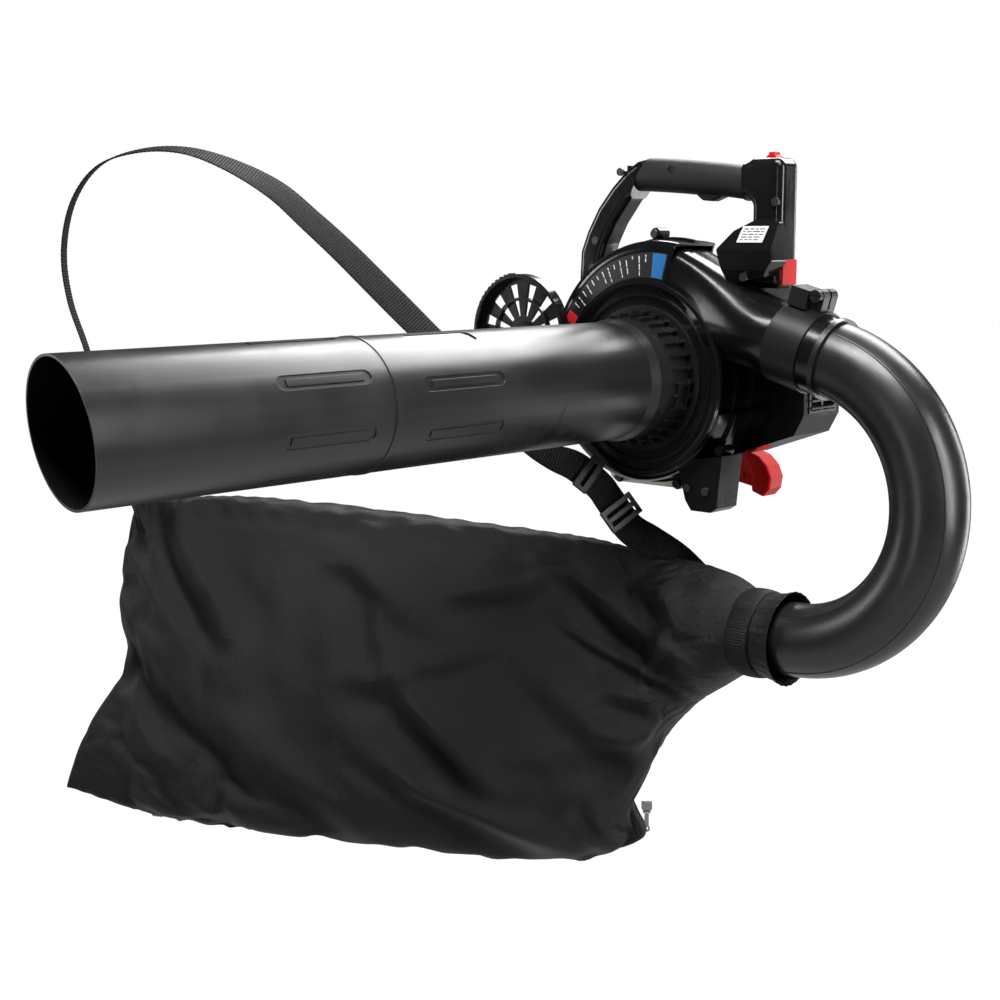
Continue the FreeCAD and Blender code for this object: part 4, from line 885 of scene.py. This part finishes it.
def make_rope():
    """Braided starter rope, from inside the cover to inside the grip."""
    low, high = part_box("starter_rope")
    direction = Vector(joints["starter_pull"]["axis"])
    centre = (low + high) / 2
    reach = (high - low).length / 2 - 0.002
    start, end = centre - direction * reach, centre + direction * reach
    side = direction.cross(Vector((0, 1, 0))).normalized()
    other = direction.cross(side)
    sections = []
    for i in range(ROPE_RINGS + 1):
        c = start.lerp(end, i / ROPE_RINGS)
        ring = []
        for k in range(ROPE_SIDES):
            angle = 2 * math.pi * k / ROPE_SIDES
            r = ROPE_R + STRAND_RELIEF * math.sin(angle * STRANDS + i * 0.9)
            ring.append(c + (side * math.cos(angle) + other * math.sin(angle)) * r)
        sections.append(ring)
    braid = swept("starter_rope_braid", sections, looks["rope"], None)
    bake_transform(braid)
    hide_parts("starter_rope")


# ---------------------------------------------------------------- labels

LABEL_LIFT = 0.3            # thickness of a label, in millimetres


def flat_look(name, colour, roughness):
    """Printed film with faint specks."""
    look = Look(name, colour, roughness)
    specks = look.ranged(look.noise(900, 3), (0.45, 0.75), (0.0, 0.35))
    look.colour(look.blend(specks, colour, tuple(c * 0.6 for c in colour)))
    look.roughness(look.ranged(look.noise(60, 3), (0.3, 0.7), (roughness - 0.06, roughness + 0.1)))
    return look.material


def patch(name, rows, normals, mat, body):
    """Thin raised sticker from rows of points, with the outward direction of each row."""
    points = [p + normal * (LABEL_LIFT * MM) for row, normal in zip(rows, normals) for p in row]
    sticker = piece(name, points, grid_faces(len(rows), len(rows[0]), False), mat, body)
    if sum(face.normal.dot(normals[0]) for face in sticker.data.polygons) < 0:
        sticker.data.flip_normals()
    thicken(sticker, LABEL_LIFT * MM)
    flat = sticker.modifiers.new("flat faces", "WEIGHTED_NORMAL")
    flat.weight = 100


FACE_Y = -30                            # front face of the housing
SCROLL_R = 104                          # the scroll's radius at its tongue, and how it grows round the fan
SCROLL_GROWTH = 49
SCROLL_TONGUE = -20
SCROLL_SWEEP = 266
RIM_WIDTH = 13
PRINT_LIFT = 0.3                        # of print above its label


def rim_radius(degrees):
    """Outer edge of the flat part of the scroll's face."""
    return SCROLL_R + SCROLL_GROWTH * ((SCROLL_TONGUE - degrees) % 360) / SCROLL_SWEEP - RIM_WIDTH


def face_sector(name, angles, inner, outer, mat, lift=0.0, columns=24):
    """Sector of a sticker on the housing's front face; outer is a radius, or a function of the angle."""
    outward = Vector((0, -1, 0))
    rows = []
    for r in (inner, outer):
        row = []
        for k in range(columns + 1):
            degrees = angles[0] + (angles[1] - angles[0]) * k / columns
            radius = r(degrees) if callable(r) else r
            angle = math.radians(degrees)
            row.append(at(radius * math.cos(angle), FACE_Y - lift, radius * math.sin(angle)))
        rows.append(row)
    patch(name, rows, [outward] * 2, mat, "frame")


def make_face_label():
    """Dark sector with a blue and a red end and generic print between them."""
    random.seed(4)
    ink = flat_look("label_ink_white", (0.62, 0.62, 0.60), 0.5)
    backing = flat_look("label_backing", (0.006, 0.006, 0.0065), 0.42)
    blue = flat_look("label_ink_blue", (0.012, 0.13, 0.36), 0.4)
    red = flat_look("label_ink_red", (0.50, 0.012, 0.016), 0.4)
    face_sector("face_label", (76, 152), 110, rim_radius, backing)
    face_sector("face_label_blue", (76.5, 84), 111, lambda a: rim_radius(a) - 1, blue, PRINT_LIFT, 6)
    face_sector("face_label_red", (145, 151), 111, lambda a: rim_radius(a) - 1, red, PRINT_LIFT, 6)
    bar = 0
    for angle in range(88, 144, 4):
        r = rim_radius(angle) - 2 - random.uniform(0, 3)
        while r > 114:
            stop = max(112, r - random.uniform(2.5, 8))
            name = "face_label_bar_%02d" % bar
            face_sector(name, (angle, angle + 0.55), stop, r, ink, PRINT_LIFT, 1)
            bar += 1
            r = stop - 1.3
            if random.random() < 0.22:
                break


POD_TOP = 172                           # the handle's pod slopes down and forward from this height
POD_DOWN = Vector((0, -24, -32)).normalized()
POD_OUT = Vector((0, -32, 24)).normalized()


def pod_patch(name, x_span, d_span, lift, mat):
    """Label on the pod's slope, from its span of x and its span of distance down the slope."""
    rows = [[at(x, 0, POD_TOP) + (POD_DOWN * d + POD_OUT * lift) * MM for x in x_span] for d in d_span]
    patch(name, rows, [POD_OUT] * 2, mat, "frame")


def make_handle_label():
    """White label with generic print on the sloping top of the handle's pod."""
    paper = flat_look("handle_label_paper", (0.60, 0.60, 0.59), 0.5)
    ink = flat_look("handle_label_ink", (0.01, 0.01, 0.01), 0.5)
    pod_patch("handle_label", (114, 146), (9, 30), 0, paper)
    random.seed(9)
    word = 0
    for d in (12, 15.5, 19, 22.5, 26):
        x = 117.0
        while x < 140:
            stop = min(143, x + random.uniform(3, 9))
            pod_patch("handle_label_print_%02d" % word, (x, stop), (d, d + 1.5), 0.12, ink)
            word += 1
            x = stop + 1.6


TUBE_R = 63.5
FILM_Y = (-250, -135)
FILM_START, FILM_TURN = -57, 49         # degrees round the tube
FILM_SLANT = 18                         # how far its last edge is shifted along the tube
FILM_STEPS = 8
DOT_ROWS, DOT_COLUMNS = 14, 16
DOT_START, DOT_Y = -64, -315            # the first dot's place in degrees round the tube and along it
DOT_TURN = 2.7                          # degrees from one row of dots to the next
DOT_PITCH = 3.7                         # millimetres along the tube
DOT_R = 0.0009
DOT_HEIGHT = 0.0005


def round_tube(degrees):
    """Direction out of the tube at an angle round its axis."""
    angle = math.radians(degrees)
    return Vector((math.cos(angle), 0, math.sin(angle)))


def make_tube_label():
    """Dark film on the tube's underside, slanted along its length."""
    outwards = [round_tube(FILM_START + FILM_TURN * i / FILM_STEPS) for i in range(FILM_STEPS + 1)]
    rows = []
    for i, outward in enumerate(outwards):
        shift = FILM_SLANT * i / FILM_STEPS
        rows.append([at(TUBE_R * outward.x, y + shift, TUBE_R * outward.z) for y in FILM_Y])
    film = flat_look("label_film", (0.0035, 0.0035, 0.004), 0.34)
    patch("tube_label", rows, outwards, film, "vacuum_tubes")


def make_tube_dots():
    """Field of small moulded studs on the tube, each a flat six-sided cone."""
    points, faces = [], []
    for row in range(DOT_ROWS):
        outward = round_tube(DOT_START + row * DOT_TURN)
        tangent = Vector((-outward.z, 0, outward.x))
        for column in range(DOT_COLUMNS):
            y = DOT_Y + (column + (row % 2) / 2) * DOT_PITCH
            centre = at(TUBE_R * outward.x, y, TUBE_R * outward.z)
            first = len(points)
            for k in range(6):
                a = math.pi * k / 3
                round_dot = tangent * math.cos(a) + Vector((0, 1, 0)) * math.sin(a)
                points.append(centre + round_dot * DOT_R - outward * 0.0001)
            points.append(centre + outward * DOT_HEIGHT)
            faces += [(first + k, first + (k + 1) % 6, first + 6) for k in range(6)]
            faces.append(tuple(first + k for k in reversed(range(6))))
    dots = piece("tube_stipple", points, faces, looks["tube_plastic"], "vacuum_tubes")


make_camera()
make_world()
make_lights()
make_floor()
scene.view_settings.view_transform = "Standard"
looks = make_materials()
dress_cad_nodes()
lowest_edge = make_bag()
make_cuff_band()
make_zip(lowest_edge)
make_strap()
make_rope()
make_face_label()
make_handle_label()
make_tube_label()
make_tube_dots()
